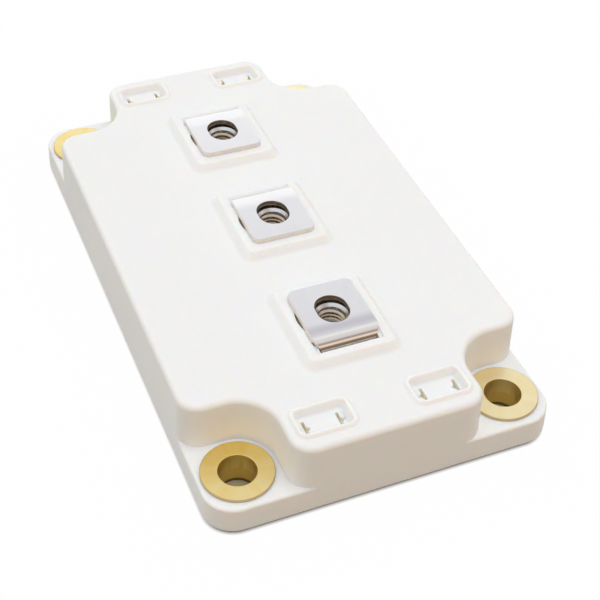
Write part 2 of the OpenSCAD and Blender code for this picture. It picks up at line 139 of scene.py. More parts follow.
class NodeBoard:
    """A node tree under construction."""

    def __init__(self, tree: bpy.types.NodeTree) -> None:
        """Starts from an empty tree."""
        self.tree = tree
        tree.nodes.clear()

    def add(
        self,
        kind: str,
        settings: Optional[Dict[str, object]] = None,
        inputs: Optional[Dict[Union[str, int], object]] = None,
    ) -> bpy.types.Node:
        """Adds one node.

        Args:
            kind: Node type.
            settings: Node settings, set first; "stops" holds a ramp's places and colours.
            inputs: Values or wires for the sockets, by name or number.

        Returns:
            The new node.
        """
        node = self.tree.nodes.new(kind)
        for key, value in (settings or {}).items():
            if key == "stops":
                self.set_stops(node.color_ramp, value)
            else:
                setattr(node, key, value)
        for key, value in (inputs or {}).items():
            if isinstance(value, Wire):
                self.tree.links.new(value.socket, node.inputs[key])
            else:
                node.inputs[key].default_value = value
        return node

    @staticmethod
    def set_stops(ramp: bpy.types.ColorRamp, stops: Sequence[Tuple[float, Colour]]) -> None:
        """Gives a ramp its stops.

        Args:
            ramp: The ramp.
            stops: Places with their colours, in rising order of place.
        """
        while len(ramp.elements) < len(stops):
            ramp.elements.new(1.0)
        for element, (place, colour) in zip(ramp.elements, stops):
            element.position = place
            element.color = (*colour, 1.0)

    def wire(self, node: bpy.types.Node, output: Union[str, int] = 0) -> Wire:
        """One output of a node, as a value."""
        return Wire(self, node.outputs[output])

    def maths(self, operation: str, *terms: Term) -> Wire:
        """Result of a Math node on wires or numbers, in order."""
        settings = {"operation": operation}
        return self.wire(self.add("ShaderNodeMath", settings, dict(enumerate(terms))))

    def place(self) -> Wire:
        """Object coordinates, in metres of the module's own frame."""
        return self.wire(self.add("ShaderNodeTexCoord"), "Object")

    def axes(self, vector: Wire) -> Tuple[Wire, Wire, Wire]:
        """The three parts of a vector."""
        node = self.add("ShaderNodeSeparateXYZ", None, {0: vector})
        return self.wire(node, 0), self.wire(node, 1), self.wire(node, 2)

    def vector(self, *parts: Wire) -> Wire:
        """A vector of two or three parts."""
        return self.wire(self.add("ShaderNodeCombineXYZ", None, dict(enumerate(parts))))

    def noise(self, at: Wire, per_mm: float, detail: float, stretch: Point = EVEN) -> Wire:
        """Noise between 0 and 1.

        Args:
            at: Coordinates in metres.
            per_mm: Features to the millimetre.
            detail: Octaves.
            stretch: Factor on each axis before the noise.

        Returns:
            The noise value.
        """
        if stretch != EVEN:
            at = self.wire(self.add("ShaderNodeMapping", None, {"Vector": at, "Scale": stretch}))
        sockets = {"Vector": at, "Scale": per_mm / MM, "Detail": detail}
        return self.wire(self.add("ShaderNodeTexNoise", None, sockets))

    @staticmethod
    def paint(colour: Union[Wire, Colour]) -> Union[Wire, Tuple[float, ...]]:
        """A colour in the form that a socket takes."""
        return colour if isinstance(colour, Wire) else (*colour, 1.0)

    def tint(self, factor: Wire, low: Union[Wire, Colour], high: Union[Wire, Colour]) -> Wire:
        """Colour between two colours, the low one at 0 and the high one at 1."""
        sockets = {0: factor, 6: self.paint(low), 7: self.paint(high)}
        return self.wire(self.add("ShaderNodeMix", {"data_type": "RGBA"}, sockets), 2)

    def relief(self, height: Wire, depth_mm: float, strength: float = 1.0) -> Wire:
        """Normal of a surface with a fine relief, from heights between 0 and 1."""
        sockets = {"Height": height, "Distance": depth_mm * MM, "Strength": strength}
        return self.wire(self.add("ShaderNodeBump", None, sockets))

    def light(self, kind: str, colour: Union[Wire, Colour], strength: Term) -> Wire:
        """A shader that gives light: a Background or an Emission node."""
        sockets = {"Color": self.paint(colour), "Strength": strength}
        return self.wire(self.add(kind, None, sockets))

    def blend(self, factor: Wire, low: Wire, high: Wire) -> Wire:
        """Blend of two shaders, the low one at 0 and the high one at 1."""
        return self.wire(self.add("ShaderNodeMixShader", None, {0: factor, 1: low, 2: high}))

    def rays(self, *kinds: str) -> Wire:
        """Tells rays apart.

        Args:
            kinds: Outputs of a Light Path node.

        Returns:
            The largest of those outputs.
        """
        path = self.add("ShaderNodeLightPath")
        found = self.wire(path, kinds[0])
        for kind in kinds[1:]:
            found = found.maths("MAXIMUM", self.wire(path, kind))
        return found

    def surface(self, **sockets: object) -> None:
        """Ends a material with a Principled shader.

        Args:
            sockets: Values or wires for its sockets, named with underscores for spaces.
        """
        inputs = {name.replace("_", " "): value for name, value in sockets.items()}
        shader = self.add("ShaderNodeBsdfPrincipled", None, inputs)
        self.add("ShaderNodeOutputMaterial", None, {"Surface": self.wire(shader)})


def new_material(name: str) -> Tuple[bpy.types.Material, NodeBoard]:
    """An empty node material.

    Args:
        name: Name of the material.

    Returns:
        The material and its board.
    """
    material = bpy.data.materials.new(name)
    material.use_nodes = True
    return material, NodeBoard(material.node_tree)


def span(x: Wire, y: Wire) -> Wire:
    """Length of the way that two parts make."""
    return (x * x + y * y).maths("SQRT")


def screw_radius(x: Wire, y: Wire) -> Wire:
    """Distance from the nearest terminal's screw axis."""
    outer = abs(x).above(PITCH / 2)
    return span(abs(x) - PITCH * outer, y)


def corner_way(x: Wire, y: Wire) -> Tuple[Wire, Wire]:
    """Way from the axis of the bushing in the same corner, outwards along both axes."""
    return abs(x) - CORNER_AT[0], abs(y) - CORNER_AT[1]


@dataclass(frozen=True)
class MouldedPlastic:
    """Satin off-white moulding with a fine spark-eroded grain and slow flow marks, and painted
    shade in its pin slots and screw recesses.
    """

    pale: Colour = (0.86, 0.86, 0.85)
    deep: Colour = (0.84, 0.836, 0.82)
    # Painted shade: warm tan deep in the pin slots of the signal pockets
    pit_shade: Colour = (0.89, 0.83, 0.69)
    # Painted shade: warm tint on the screw recesses' walls, standing in for shade and light off the
    # metal
    well_shade: Colour = (0.80, 0.62, 0.42)
    well_r: float = 6.45 * MM
    well_z: Pair = (11.0 * MM, 15.93 * MM)
    pit_x: Pair = (44.0 * MM, 51.0 * MM)
    pit_y: Pair = (6.0 * MM, 14.5 * MM)
    pit_z: Pair = (12.4 * MM, 13.66 * MM)
    pit_fade: float = 0.2 * MM
    roughness: float = 0.38
    bleed: float = 1.2 * MM
    bleed_tint: Colour = (1.0, 0.66, 0.36)

    def make(self) -> bpy.types.Material:
        """Builds the material.

        Returns:
            The material.
        """
        material, board = new_material("moulded_plastic")
        place = board.place()
        clouds = board.noise(place, per_mm=0.05, detail=3.0)
        flow = board.noise(place, per_mm=0.12, detail=2.0, stretch=(0.4, 1.0, 1.0))
        grain = board.noise(place, per_mm=3.2, detail=2.0)
        mass = board.tint(clouds, self.pale, self.deep)
        # Painted shade: the pin slots turn tan towards their depths
        pit_shaded = board.tint(self.pit_shading(board, place), mass, self.pit_shade)
        board.surface(
            Base_Color=board.tint(self.well_shading(board, place), pit_shaded, self.well_shade),
            Roughness=self.roughness + 0.08 * flow + 0.05 * grain,
            IOR=1.5,
            Subsurface_Weight=0.7,
            Subsurface_Radius=self.bleed_tint,
            Subsurface_Scale=self.bleed,
            Normal=board.relief(grain, depth_mm=0.012, strength=0.5),
        )
        return material

    def well_shading(self, board: NodeBoard, place: Wire) -> Wire:
        """Where painted warm shade, tinted like light off the metal, darkens the screw recesses
        under the tabs.

        Args:
            board: Board of the material.
            place: Place on the piece.

        Returns:
            1 inside a recess and 0 elsewhere.
        """
        x, y, z = board.axes(place)
        low, high = self.well_z
        return z.above(low) * z.below(high) * screw_radius(x, y).below(self.well_r)

    def pit_shading(self, board: NodeBoard, place: Wire) -> Wire:
        """Where painted warm shade darkens the depths of the pin slots, in the floors of the signal
        pockets.

        Args:
            board: Board of the material.
            place: Place on the piece.

        Returns:
            1 deep in a slot and 0 elsewhere.
        """
        x, y, z = board.axes(place)
        low, high = self.pit_z
        found = ((high - z) / self.pit_fade).clamped() * z.above(low)
        for axis, (start, end) in ((abs(x), self.pit_x), (abs(y), self.pit_y)):
            found = found * axis.above(start) * axis.below(end)
        return found


@dataclass(frozen=True)
class TurnedBrass:
    """Machined brass with concentric tool marks about the bushing in each corner, and painted
    highlights and shade.
    """

    bright: Colour = (1.0, 0.89, 0.58)
    dull: Colour = (0.94, 0.72, 0.20)
    # Painted shade down the bore, streaked with lighter painted glints
    bore_shade: Colour = (0.74, 0.53, 0.15)
    bore_glint: Colour = (0.98, 0.76, 0.29)
    # Painted shade on the flange's outer side
    rim: Colour = (0.60, 0.45, 0.24)
    rim_r: float = 5.92 * MM
    rim_fade: float = 0.1 * MM
    bore: float = 3.25 * MM
    bore_ends: Pair = (3.0 * MM, 6.3 * MM)
    sheen_run: float = 30.0 * MM
    mark_pitch_mm: float = 0.16

    def make(self) -> bpy.types.Material:
        """Builds the material; the corners' symmetry lets one pattern serve all bushings.

        Returns:
            The material.
        """
        material, board = new_material("turned_brass")
        place = board.place()
        x, y, z = board.axes(place)
        dx, dy = corner_way(x, y)
        radius = span(dx, dy)
        rings = board.noise(board.vector(radius, z), per_mm=1.0 / self.mark_pitch_mm, detail=3.0)
        blotch = board.noise(place, per_mm=0.35, detail=3.0)
        # Painted light: bushings on the +Y side come out lighter, and the others get a painted
        # highlight rising outwards along X
        tone = (0.5 + y / (2 * CORNER_AT[1])).clamped()
        round_axis = board.vector(dx / radius, dy / radius, tone)
        # Painted highlights: radial glints round the turned faces, also streaking the bore
        radial_glints = board.noise(round_axis, per_mm=0.0035, detail=3.0)
        marks_and_sheen = 0.25 * blotch + 0.2 * rings + 0.8 * radial_glints + 0.55 * tone - 0.36
        painted_sheen = dx / self.sheen_run * (1.0 - tone)
        turned = board.tint(marks_and_sheen + painted_sheen, self.dull, self.bright)
        # Painted shade: the bore darkens towards the bottom of the sleeve, streaked lighter by the
        # glints
        wall = board.tint((3.0 * radial_glints - 1.0).clamped(), self.bore_shade, self.bore_glint)
        low, high = self.bore_ends
        bore_depth_shade = ((high - z) / (high - low)).clamped() * radius.below(self.bore)
        # Painted shade along the flange's outer side
        edge = ((radius - self.rim_r) / self.rim_fade).clamped()
        board.surface(
            Base_Color=board.tint(edge, board.tint(bore_depth_shade, turned, wall), self.rim),
            Metallic=1.0,
            Roughness=0.24 + 0.12 * blotch + 0.06 * rings,
            Normal=board.relief(rings, depth_mm=0.009),
        )
        return material


@dataclass(frozen=True)
class TinPlate:
    """Bright tin plate on a rolled strip, with painted shade where the strip enters its slot under
    the bend, and eased towards the bend.
    """

    bright: Colour = (0.86, 0.86, 0.875)
    dull: Colour = (0.78, 0.78, 0.80)
    # Painted shade on the strip where it goes into its slot, just below the pad's top
    painted_hollow_tint: Colour = (0.27, 0.165, 0.09)
    roughness: float = 0.10
    easing_start: float = 2.4 * MM
    easing_radius_mm: float = 24.0
    bend_start: float = 5.4 * MM
    slot_shade_band: Pair = (15.43 * MM, 16.0 * MM)
    band_fade: float = 0.15 * MM

    def easing(self, x: Wire) -> Wire:
        """How far the tab falls away towards its bend.

        Args:
            x: Place along the module.

        Returns:
            The fall in millimetres, which is 0 on most of the tab.
        """
        outer = abs(x).above(PITCH / 2)
        towards = outer * (abs(x) - PITCH) - (1.0 - outer) * x
        past = (towards - self.easing_start).maths("MAXIMUM", 0.0) / MM
        run = (self.bend_start - self.easing_start) / MM
        slope = run / self.easing_radius_mm
        on_tab = past.maths("MINIMUM", run)
        on_bend = (past - run).maths("MAXIMUM", 0.0)
        tab_fall = on_tab * on_tab / (2.0 * self.easing_radius_mm)
        return tab_fall + slope * on_bend - slope / 4.0 * on_bend * on_bend

    def make(self) -> bpy.types.Material:
        """Builds the material.

        Returns:
            The material.
        """
        material, board = new_material("tin_plate")
        place = board.place()
        x, _, z = board.axes(place)
        waves = board.noise(place, per_mm=0.14, detail=1.0)
        lines = board.noise(place, per_mm=2.6, detail=2.0, stretch=(0.06, 1.0, 1.0))
        stains = board.noise(place, per_mm=0.5, detail=4.0)
        tin = board.tint(0.7 * stains + 0.3 * lines, self.bright, self.dull)
        # Painted shade where the strip enters its slot
        low, high = self.slot_shade_band
        inside = (high - z).maths("MINIMUM", z - low) / self.band_fade
        slot_shade_band = (inside + 0.6 * stains - 0.3).clamped()
        height = 0.02 * waves + 0.0005 * lines - self.easing(x)
        board.surface(
            Base_Color=board.tint(slot_shade_band, tin, self.painted_hollow_tint),
            Metallic=1.0,
            Roughness=self.roughness + 0.06 * stains + 0.04 * lines + 0.1 * slot_shade_band,
            Normal=board.relief(height, depth_mm=1.0),
        )
        return material


@dataclass(frozen=True)
class ShearedEdge:
    """Cut edges of the strips: pale and dull outside, with painted shade on the walls of the screw
    holes.
    """

    bright: Colour = (0.88, 0.85, 0.81)
    torn: Colour = (0.72, 0.63, 0.54)
    # Painted shade on the screw holes' walls, streaked lighter
    painted_hollow_tint: Colour = (0.32, 0.25, 0.17)
    streak: Colour = (0.66, 0.58, 0.46)
    hole: float = 3.7 * MM

    def make(self) -> bpy.types.Material:
        """Builds the material.

        Returns:
            The material.
        """
        material, board = new_material("sheared_edge")
        place = board.place()
        x, y, _ = board.axes(place)
        inside = screw_radius(x, y).below(self.hole)
        scores = board.noise(place, per_mm=3.0, detail=3.0, stretch=(1.0, 1.0, 0.15))
        flecks = board.noise(place, per_mm=1.1, detail=3.0, stretch=(1.0, 1.0, 1.6))
        tears = ((flecks - 0.5) * 4.0).clamped()
        # Painted shade on the walls of the screw holes
        pierced = board.tint(tears, self.painted_hollow_tint, self.streak)
        cut = board.tint(scores, self.torn, self.bright)
        board.surface(
            Base_Color=board.tint(inside, cut, pierced),
            Metallic=0.5 + 0.4 * inside,
            Roughness=0.42 + 0.16 * scores - 0.12 * inside,
            Normal=board.relief(scores, depth_mm=0.02),
        )
        return material


@dataclass(frozen=True)
class PlatedSteel:
    """Plated steel of the captive nuts: silvery outside, with painted brown shade and reflection in
    the thread.
    """

    bright: Colour = (0.80, 0.81, 0.82)
    dull: Colour = (0.60, 0.60, 0.60)
    # Painted shade and reflection: brown in the thread
    painted_hollow_tint: Colour = (0.56, 0.45, 0.33)
    thread: float = 2.5 * MM
    thread_fade: float = 0.1 * MM

    def make(self) -> bpy.types.Material:
        """Builds the material.

        Returns:
            The material.
        """
        material, board = new_material("plated_steel")
        place = board.place()
        x, y, _ = board.axes(place)
        inside = ((self.thread - screw_radius(x, y)) / self.thread_fade).clamped()
        crystals = board.noise(place, per_mm=1.8, detail=4.0)
        film = board.noise(place, per_mm=0.4, detail=2.0)
        plated = board.tint(0.5 * crystals + 0.5 * film, self.dull, self.bright)
        board.surface(
            # Painted shade and reflection: the thread is tinted brown, unevenly
            Base_Color=board.tint(inside * (0.6 + 0.5 * film), plated, self.painted_hollow_tint),
            Metallic=1.0,
            Roughness=0.2 + 0.16 * crystals,
            Normal=board.relief(crystals, depth_mm=0.008),
        )
        return material


@dataclass(frozen=True)
class RolledCopper:
    """Copper sheet with brushed lines and a thin uneven oxide."""

    name: str = "rolled_copper"
    fresh: Colour = (0.78, 0.45, 0.30)
    aged: Colour = (0.56, 0.29, 0.18)
    line_per_mm: float = 2.2
    roughness: float = 0.26
    # Painted reflection: the screw holes' walls take the colour of the brass above them
    painted_hollow_tint: Colour = (0.84, 0.62, 0.20)
    # Painted shade at the bottom of the screw holes
    bottom_shade_tint: Colour = (0.20, 0.14, 0.06)
    bottom_shade_to: float = 0.7 * MM
    bottom_shade_fade: float = 0.4 * MM
    hole_edge: float = 3.5 * MM

    def make(self) -> bpy.types.Material:
        """Builds the material; the walls of the screw holes carry a painted brass-coloured
        reflection, with painted shade at their bottom.

        Returns:
            The material.
        """
        material, board = new_material(self.name)
        place = board.place()
        x, y, z = board.axes(place)
        wall = span(*corner_way(x, y)).below(self.hole_edge)
        lines = board.noise(place, self.line_per_mm, detail=3.0, stretch=(0.03, 1.0, 1.0))
        oxide = board.noise(place, per_mm=0.06, detail=5.0)
        sheet = board.tint(0.75 * oxide + 0.25 * lines, self.fresh, self.aged)
        # Painted shade: the screw holes' walls darken at their bottom
        bottom_shade = ((self.bottom_shade_to - z) / self.bottom_shade_fade).clamped()
        painted_bore_wall = board.tint(bottom_shade, self.painted_hollow_tint, self.bottom_shade_tint)
        board.surface(
            Base_Color=board.tint(wall, sheet, painted_bore_wall),
            Metallic=1.0,
            Roughness=self.roughness + 0.14 * oxide + 0.1 * lines,
            Normal=board.relief(lines, depth_mm=0.006),
        )
        return material


@dataclass(frozen=True)
class CloudedFinish:
    """Plain finish of a sealed inner piece, mottled between two tones."""

    name: str
    light: Colour
    dark: Colour
    roughness: float
    metallic: float = 0.0
    per_mm: float = 0.8
    depth_mm: float = 0.01

    def make(self) -> bpy.types.Material:
        """Builds the material.

        Returns:
            The material.
        """
        material, board = new_material(self.name)
        mottle = board.noise(board.place(), self.per_mm, detail=4.0)
        board.surface(
            Base_Color=board.tint(mottle, self.dark, self.light),
            Metallic=self.metallic,
            Roughness=self.roughness + 0.12 * mottle,
            Normal=board.relief(mottle, self.depth_mm),
        )
        return material


class Bench:
    """Hand tools: starting, drawing, cutting and finishing meshes with Blender's operators."""

    CORNER_STEPS = 12
    LEAST_INSET = 1e-7
    FLAT_DEG = 0.5
    SHARP_DEG = 50.0

    @staticmethod
    def clear() -> None:
        """Leaves object mode clean, with nothing selected."""
        if bpy.context.mode != "OBJECT":
            bpy.ops.object.mode_set(mode="OBJECT")
        bpy.ops.object.select_all(action="DESELECT")

    @staticmethod
    def pick(piece: bpy.types.Object) -> None:
        """Selects one piece and makes it active.

        Args:
            piece: The piece.
        """
        Bench.clear()
        piece.select_set(True)
        bpy.context.view_layer.objects.active = piece

    @staticmethod
    def named(name: str) -> bpy.types.Object:
        """Names the active piece.

        Args:
            name: Name of the piece and its mesh.

        Returns:
            The piece.
        """
        piece = bpy.context.active_object
        piece.name = name
        piece.data.name = name
        return piece

    @staticmethod
    def square(size: float) -> None:
        """Starts a square about the origin, in edit mode with all of it selected.

        Args:
            size: Length of a side.
        """
        Bench.clear()
        bpy.ops.mesh.primitive_plane_add(size=size, location=ORIGIN)
        bpy.ops.object.mode_set(mode="EDIT")
        bpy.ops.mesh.select_mode(type="VERT")
        bpy.ops.mesh.select_all(action="SELECT")

    @staticmethod
    def close(merge: bool = False) -> None:
        """Turns all faces outwards and leaves edit mode.

        Args:
            merge: Whether doubles are merged first.
        """
        bpy.ops.mesh.select_all(action="SELECT")
        if merge:
            bpy.ops.mesh.remove_doubles(threshold=MERGE)
        bpy.ops.mesh.normals_make_consistent(inside=False)
        bpy.ops.object.mode_set(mode="OBJECT")

    @staticmethod
    def line(points: Sequence[Point], closed: bool) -> None:
        """Draws a chain of edges by extruding one vertex; edit mode stays on with all selected.

        Args:
            points: Places in metres.
            closed: Whether the last point joins the first.
        """
        Bench.square(MM)
        bpy.ops.mesh.merge(type="CENTER")
        bpy.ops.transform.translate(value=points[0])
        at = Vector(points[0])
        for end in list(points[1:]) + ([points[0]] if closed else []):
            step = Vector(end) - at
            bpy.ops.mesh.extrude_vertices_move(TRANSFORM_OT_translate={"value": tuple(step)})
            at = Vector(end)
        bpy.ops.mesh.select_all(action="SELECT")
        if closed:
            bpy.ops.mesh.remove_doubles(threshold=MERGE)

    @staticmethod
    def lathe(name: str, section: Section, closed: bool, steps: int) -> bpy.types.Object:
        """Spins a section about the upright axis through the origin.

        Args:
            name: Name of the piece.
            section: Radii with their heights, in metres.
            closed: Whether the section is a closed loop; an open one starts and ends on the axis.
            steps: Steps of the whole turn.

        Returns:
            The turned piece.
        """
        Bench.line([(r, 0.0, z) for r, z in section], closed)
        bpy.ops.mesh.spin(steps=steps, angle=math.tau, center=ORIGIN, axis=UP)
        Bench.close(merge=True)
        return Bench.named(name)

    @staticmethod
    def modify(piece: bpy.types.Object, kind: str, **settings: object) -> None:
        """Adds one modifier, sets it and applies it.

        Args:
            piece: Piece to work on.
            kind: Modifier type.
            settings: The modifier's settings.
        """
        Bench.pick(piece)
        modifier = piece.modifiers.new(kind.lower(), kind)
        for key, value in settings.items():
            setattr(modifier, key, value)
        bpy.ops.object.modifier_apply(modifier=modifier.name)

    @staticmethod
    def cut(
        piece: bpy.types.Object, cutter: bpy.types.Object, operation: str = "DIFFERENCE"
    ) -> None:
        """Cuts a piece with another one, or joins the two closed blocks.

        Args:
            piece: Piece to work on.
            cutter: The other block, which is used up.
            operation: What the Boolean modifier does.
        """
        solver = "MANIFOLD" if operation == "UNION" else "EXACT"
        Bench.modify(piece, "BOOLEAN", object=cutter, operation=operation, solver=solver)
        bpy.data.objects.remove(cutter)

    @staticmethod
    def break_edges(
        piece: bpy.types.Object, width: float, sharp_deg: float = SHARP_DEG, clamp: bool = False
    ) -> None:
        """Breaks every sharp edge of a piece by one small width.

        Args:
            piece: Piece to work on.
            width: Width of the rounding in metres.
            sharp_deg: Least angle between faces that counts as an edge.
            clamp: Whether roundings that would meet are held back.
        """
        Bench.modify(
            piece, "BEVEL", width=width, segments=2, limit_method="ANGLE",
            angle_limit=math.radians(sharp_deg), use_clamp_overlap=clamp,
        )

    @staticmethod
    def edit_points(
        piece: bpy.types.Object, wanted: Callable[[Vector], bool], mode: str = "VERT"
    ) -> None:
        """Enters edit mode with only the wanted points and the edges between them selected.

        Args:
            piece: Piece to work on.
            wanted: Says of a place whether its point is selected.
            mode: Selection mode to work in.
        """
        Bench.pick(piece)
        mesh = piece.data
        for group in (mesh.vertices, mesh.edges, mesh.polygons):
            group.foreach_set("select", [False] * len(group))
        for vertex in mesh.vertices:
            vertex.select = wanted(vertex.co)
        for edge in mesh.edges:
            edge.select = all(mesh.vertices[i].select for i in edge.vertices)
        bpy.ops.object.mode_set(mode="EDIT")
        bpy.ops.mesh.select_mode(type=mode)

    @staticmethod
    def prism(name: str, outline: Sequence[Point], along: Point) -> bpy.types.Object:
        """Extrudes a flat outline.

        Args:
            name: Name of the piece.
            outline: Places round the outline in metres.
            along: Way and length of the extrusion.

        Returns:
            The closed prism.
        """
        Bench.line(outline, True)
        bpy.ops.mesh.edge_face_add()
        bpy.ops.mesh.extrude_region_move(TRANSFORM_OT_translate={"value": along})
        Bench.close()
        return Bench.named(name)

    @staticmethod
    def box(low: Point, high: Point) -> bpy.types.Object:
        """A plain block for cutting with.

        Args:
            low: One corner.
            high: The opposite corner.

        Returns:
            The block.
        """
        (x0, y0, z0), (x1, y1, z1) = low, high
        outline = [(x0, y0, z0), (x1, y0, z0), (x1, y1, z0), (x0, y1, z0)]
        return Bench.prism("block_cutter", outline, (0.0, 0.0, z1 - z0))

    @staticmethod
    def drum(base: float, radius: float, height: float, sides: int) -> bpy.types.Object:
        """A round or hexagonal drum about the upright axis, its first corner along X.

        Args:
            base: Height of its underside.
            radius: Radius of its corners.
            height: Its own height.
            sides: Number of sides.

        Returns:
            The drum.
        """
        turns = [math.tau * k / sides for k in range(sides)]
        outline = [(radius * math.cos(a), radius * math.sin(a), base) for a in turns]
        return Bench.prism("drum_cutter", outline, (0.0, 0.0, height))

    @staticmethod
    def terrace(
        name: str, half: Pair, corner: float, base: float, section: Section, at: Pair = (0.0, 0.0)
    ) -> bpy.types.Object:
        """Raises a rounded block whose sides follow a section, by insetting its top in steps.

        Args:
            name: Name of the piece.
            half: Half length and half width of the outline that the section is measured from.
            corner: Corner radius of that outline.
            base: Height of the buried underside.
            section: Distances outside the outline with their heights, from the outside in.
            at: Middle of the outline.

        Returns:
            The closed block.
        """
        reach, level = section[0]
        Bench.square(1.0)
        bpy.ops.transform.resize(value=(2 * (half[0] + reach), 2 * (half[1] + reach), 1.0))
        bpy.ops.transform.translate(value=(*at, base))
        bpy.ops.mesh.bevel(offset=corner + reach, segments=Bench.CORNER_STEPS, affect="VERTICES")
        bpy.ops.mesh.select_all(action="SELECT")
        up = (0.0, 0.0, level - base)
        bpy.ops.mesh.extrude_region_move(TRANSFORM_OT_translate={"value": up})
        for out, high in section[1:]:
            thickness = max(reach - out, Bench.LEAST_INSET)
            bpy.ops.mesh.inset(thickness=thickness, depth=high - level, use_even_offset=True)
            reach, level = out, high
        Bench.close()
        return Bench.named(name)

    @staticmethod
    def moved_copy(
        piece: bpy.types.Object, name: str, turned: bool, along: Point
    ) -> bpy.types.Object:
        """A copy with a mesh of its own, turned half round if asked and then moved.

        Args:
            piece: Piece to copy.
            name: Name of the copy.
            turned: Whether it is turned half round the upright axis.
            along: Way from the axis to its place.

        Returns:
            The copy.
        """
        copy = bpy.data.objects.new(name, piece.data.copy())
        bpy.context.scene.collection.objects.link(copy)
        Bench.pick(copy)
        bpy.ops.object.mode_set(mode="EDIT")
        bpy.ops.mesh.select_all(action="SELECT")
        if turned:
            bpy.ops.transform.rotate(value=math.pi, orient_axis="Z", center_override=ORIGIN)
        bpy.ops.transform.translate(value=along)
        bpy.ops.object.mode_set(mode="OBJECT")
        return copy

    @staticmethod
    def join(piece: bpy.types.Object, others: Iterable[bpy.types.Object]) -> None:
        """Joins other pieces into one.

        Args:
            piece: Piece that takes up the others.
            others: The others.
        """
        Bench.pick(piece)
        for other in others:
            other.select_set(True)
        bpy.ops.object.join()

    @staticmethod
    def soften(
        piece: bpy.types.Object,
        width_of: Callable[[Vector, Vector], float],
        widest: float,
        least_deg: float,
    ) -> None:
        """Rounds a piece's sharp edges, each by its own width.

        Args:
            piece: Merged mesh.
            width_of: Gives the rounding in metres for an edge between two places.
            widest: Largest rounding in metres.
            least_deg: Least angle between faces that counts as an edge.
        """
        mesh = piece.data
        sides: Dict[Tuple[int, int], List[Vector]] = {}
        for face in mesh.polygons:
            for key in face.edge_keys:
                sides.setdefault(key, []).append(face.normal.copy())
        weights = mesh.attributes.new("bevel_weight_edge", "FLOAT", "EDGE")
        for edge in mesh.edges:
            normals = sides.get(tuple(sorted(edge.vertices)), [])
            if len(normals) == 2 and normals[0].angle(normals[1], 0.0) > math.radians(least_deg):
                ends = [mesh.vertices[i].co for i in edge.vertices]
                weights.data[edge.index].value = min(1.0, width_of(*ends) / widest)
        Bench.modify(
            piece, "BEVEL", limit_method="WEIGHT", width=widest, segments=3,
            use_clamp_overlap=False, loop_slide=False,
        )

    @staticmethod
    def smooth(piece: bpy.types.Object, angle_deg: float) -> None:
        """Shades a piece smooth up to an angle, with broad faces kept flat.

        Args:
            piece: Piece to work on.
            angle_deg: The angle.
        """
        Bench.pick(piece)
        bpy.ops.object.shade_smooth_by_angle(angle=math.radians(angle_deg))
        Bench.modify(piece, "WEIGHTED_NORMAL", weight=80, keep_sharp=True)

    @staticmethod
    def copy_of_node(node: str, name: str) -> bpy.types.Object:
        """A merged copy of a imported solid, with its flat areas joined into single faces.

        Args:
            node: Name of the solid.
            name: Name of the copy.

        Returns:
            The copy, free of the solid's own marks.
        """
        piece = bpy.data.objects.new(name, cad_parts[node].data.copy())
        bpy.context.scene.collection.objects.link(piece)
        piece.data.materials.clear()
        Bench.pick(piece)
        bpy.ops.object.mode_set(mode="EDIT")
        bpy.ops.mesh.select_all(action="SELECT")
        bpy.ops.mesh.customdata_custom_splitnormals_clear()
        bpy.ops.mesh.remove_doubles(threshold=2 * MERGE)
        bpy.ops.mesh.dissolve_limited(angle_limit=math.radians(Bench.FLAT_DEG))
        bpy.ops.object.mode_set(mode="OBJECT")
        return piece

    @staticmethod
    def issue(
        piece: bpy.types.Object, node: str, slot: Slot, *materials: bpy.types.Material
    ) -> bpy.types.Object:
        """Hands a finished piece to the frame in place of a solid.

        Args:
            piece: The finished piece.
            node: Solid that it stands for.
            slot: Record's material slot; not used.
            materials: Finishes, in the order of the mesh's slots.

        Returns:
            The piece.
        """
        for material in materials:
            piece.data.materials.append(material)
        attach(piece, "root")
        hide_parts(node)
        LOG.info("%s stands for %s: %d faces", piece.name, node, len(piece.data.polygons))
        return piece


def arc(at: Pair, size: float, start: float, end: float, steps: int) -> Section:
    """Points of a small round edge.

    Args:
        at: Middle of the rounding.
        size: Its radius.
        start: First angle in degrees, from the first axis.
        end: Last angle.
        steps: Number of steps.

    Returns:
        The points, both ends included.
    """
    turns = [math.radians(start + (end - start) * k / steps) for k in range(steps + 1)]
    return [(at[0] + size * math.cos(t), at[1] + size * math.sin(t)) for t in turns]


def bank(
    top: float, foot: float, top_round: float, foot_round: float, slope_deg: float = 42.0
) -> Section:
    """Section of a sloping side with a rounded top edge and a fillet at its foot.

    Args:
        top: Height of the top edge.
        foot: Height of the foot.
        top_round: Rounding of the top edge.
        foot_round: Fillet at the foot.
        slope_deg: Slope from upright.

    Returns:
        Distances outside the top edge with their heights, from the foot to the top.
    """
    rise_deg, steps = 90.0 - slope_deg, 6
    rise = math.radians(rise_deg)
    start = (top - foot) / math.tan(rise) + foot_round * math.tan(rise / 2)
    end = -top_round * math.tan(rise / 2)
    low = arc((start, foot + foot_round), foot_round, 270.0, 270.0 - rise_deg, steps)
    high = arc((end, top - top_round), top_round, 90.0 - rise_deg, 90.0, steps)
    return low + high


def set_in(section: Section) -> Section:
    """A section with a sloping skirt below its foot, buried where the block is set into a face."""
    (reach, level), skirt = section[0], 0.1 * MM
    return [(reach + skirt, level - skirt)] + section


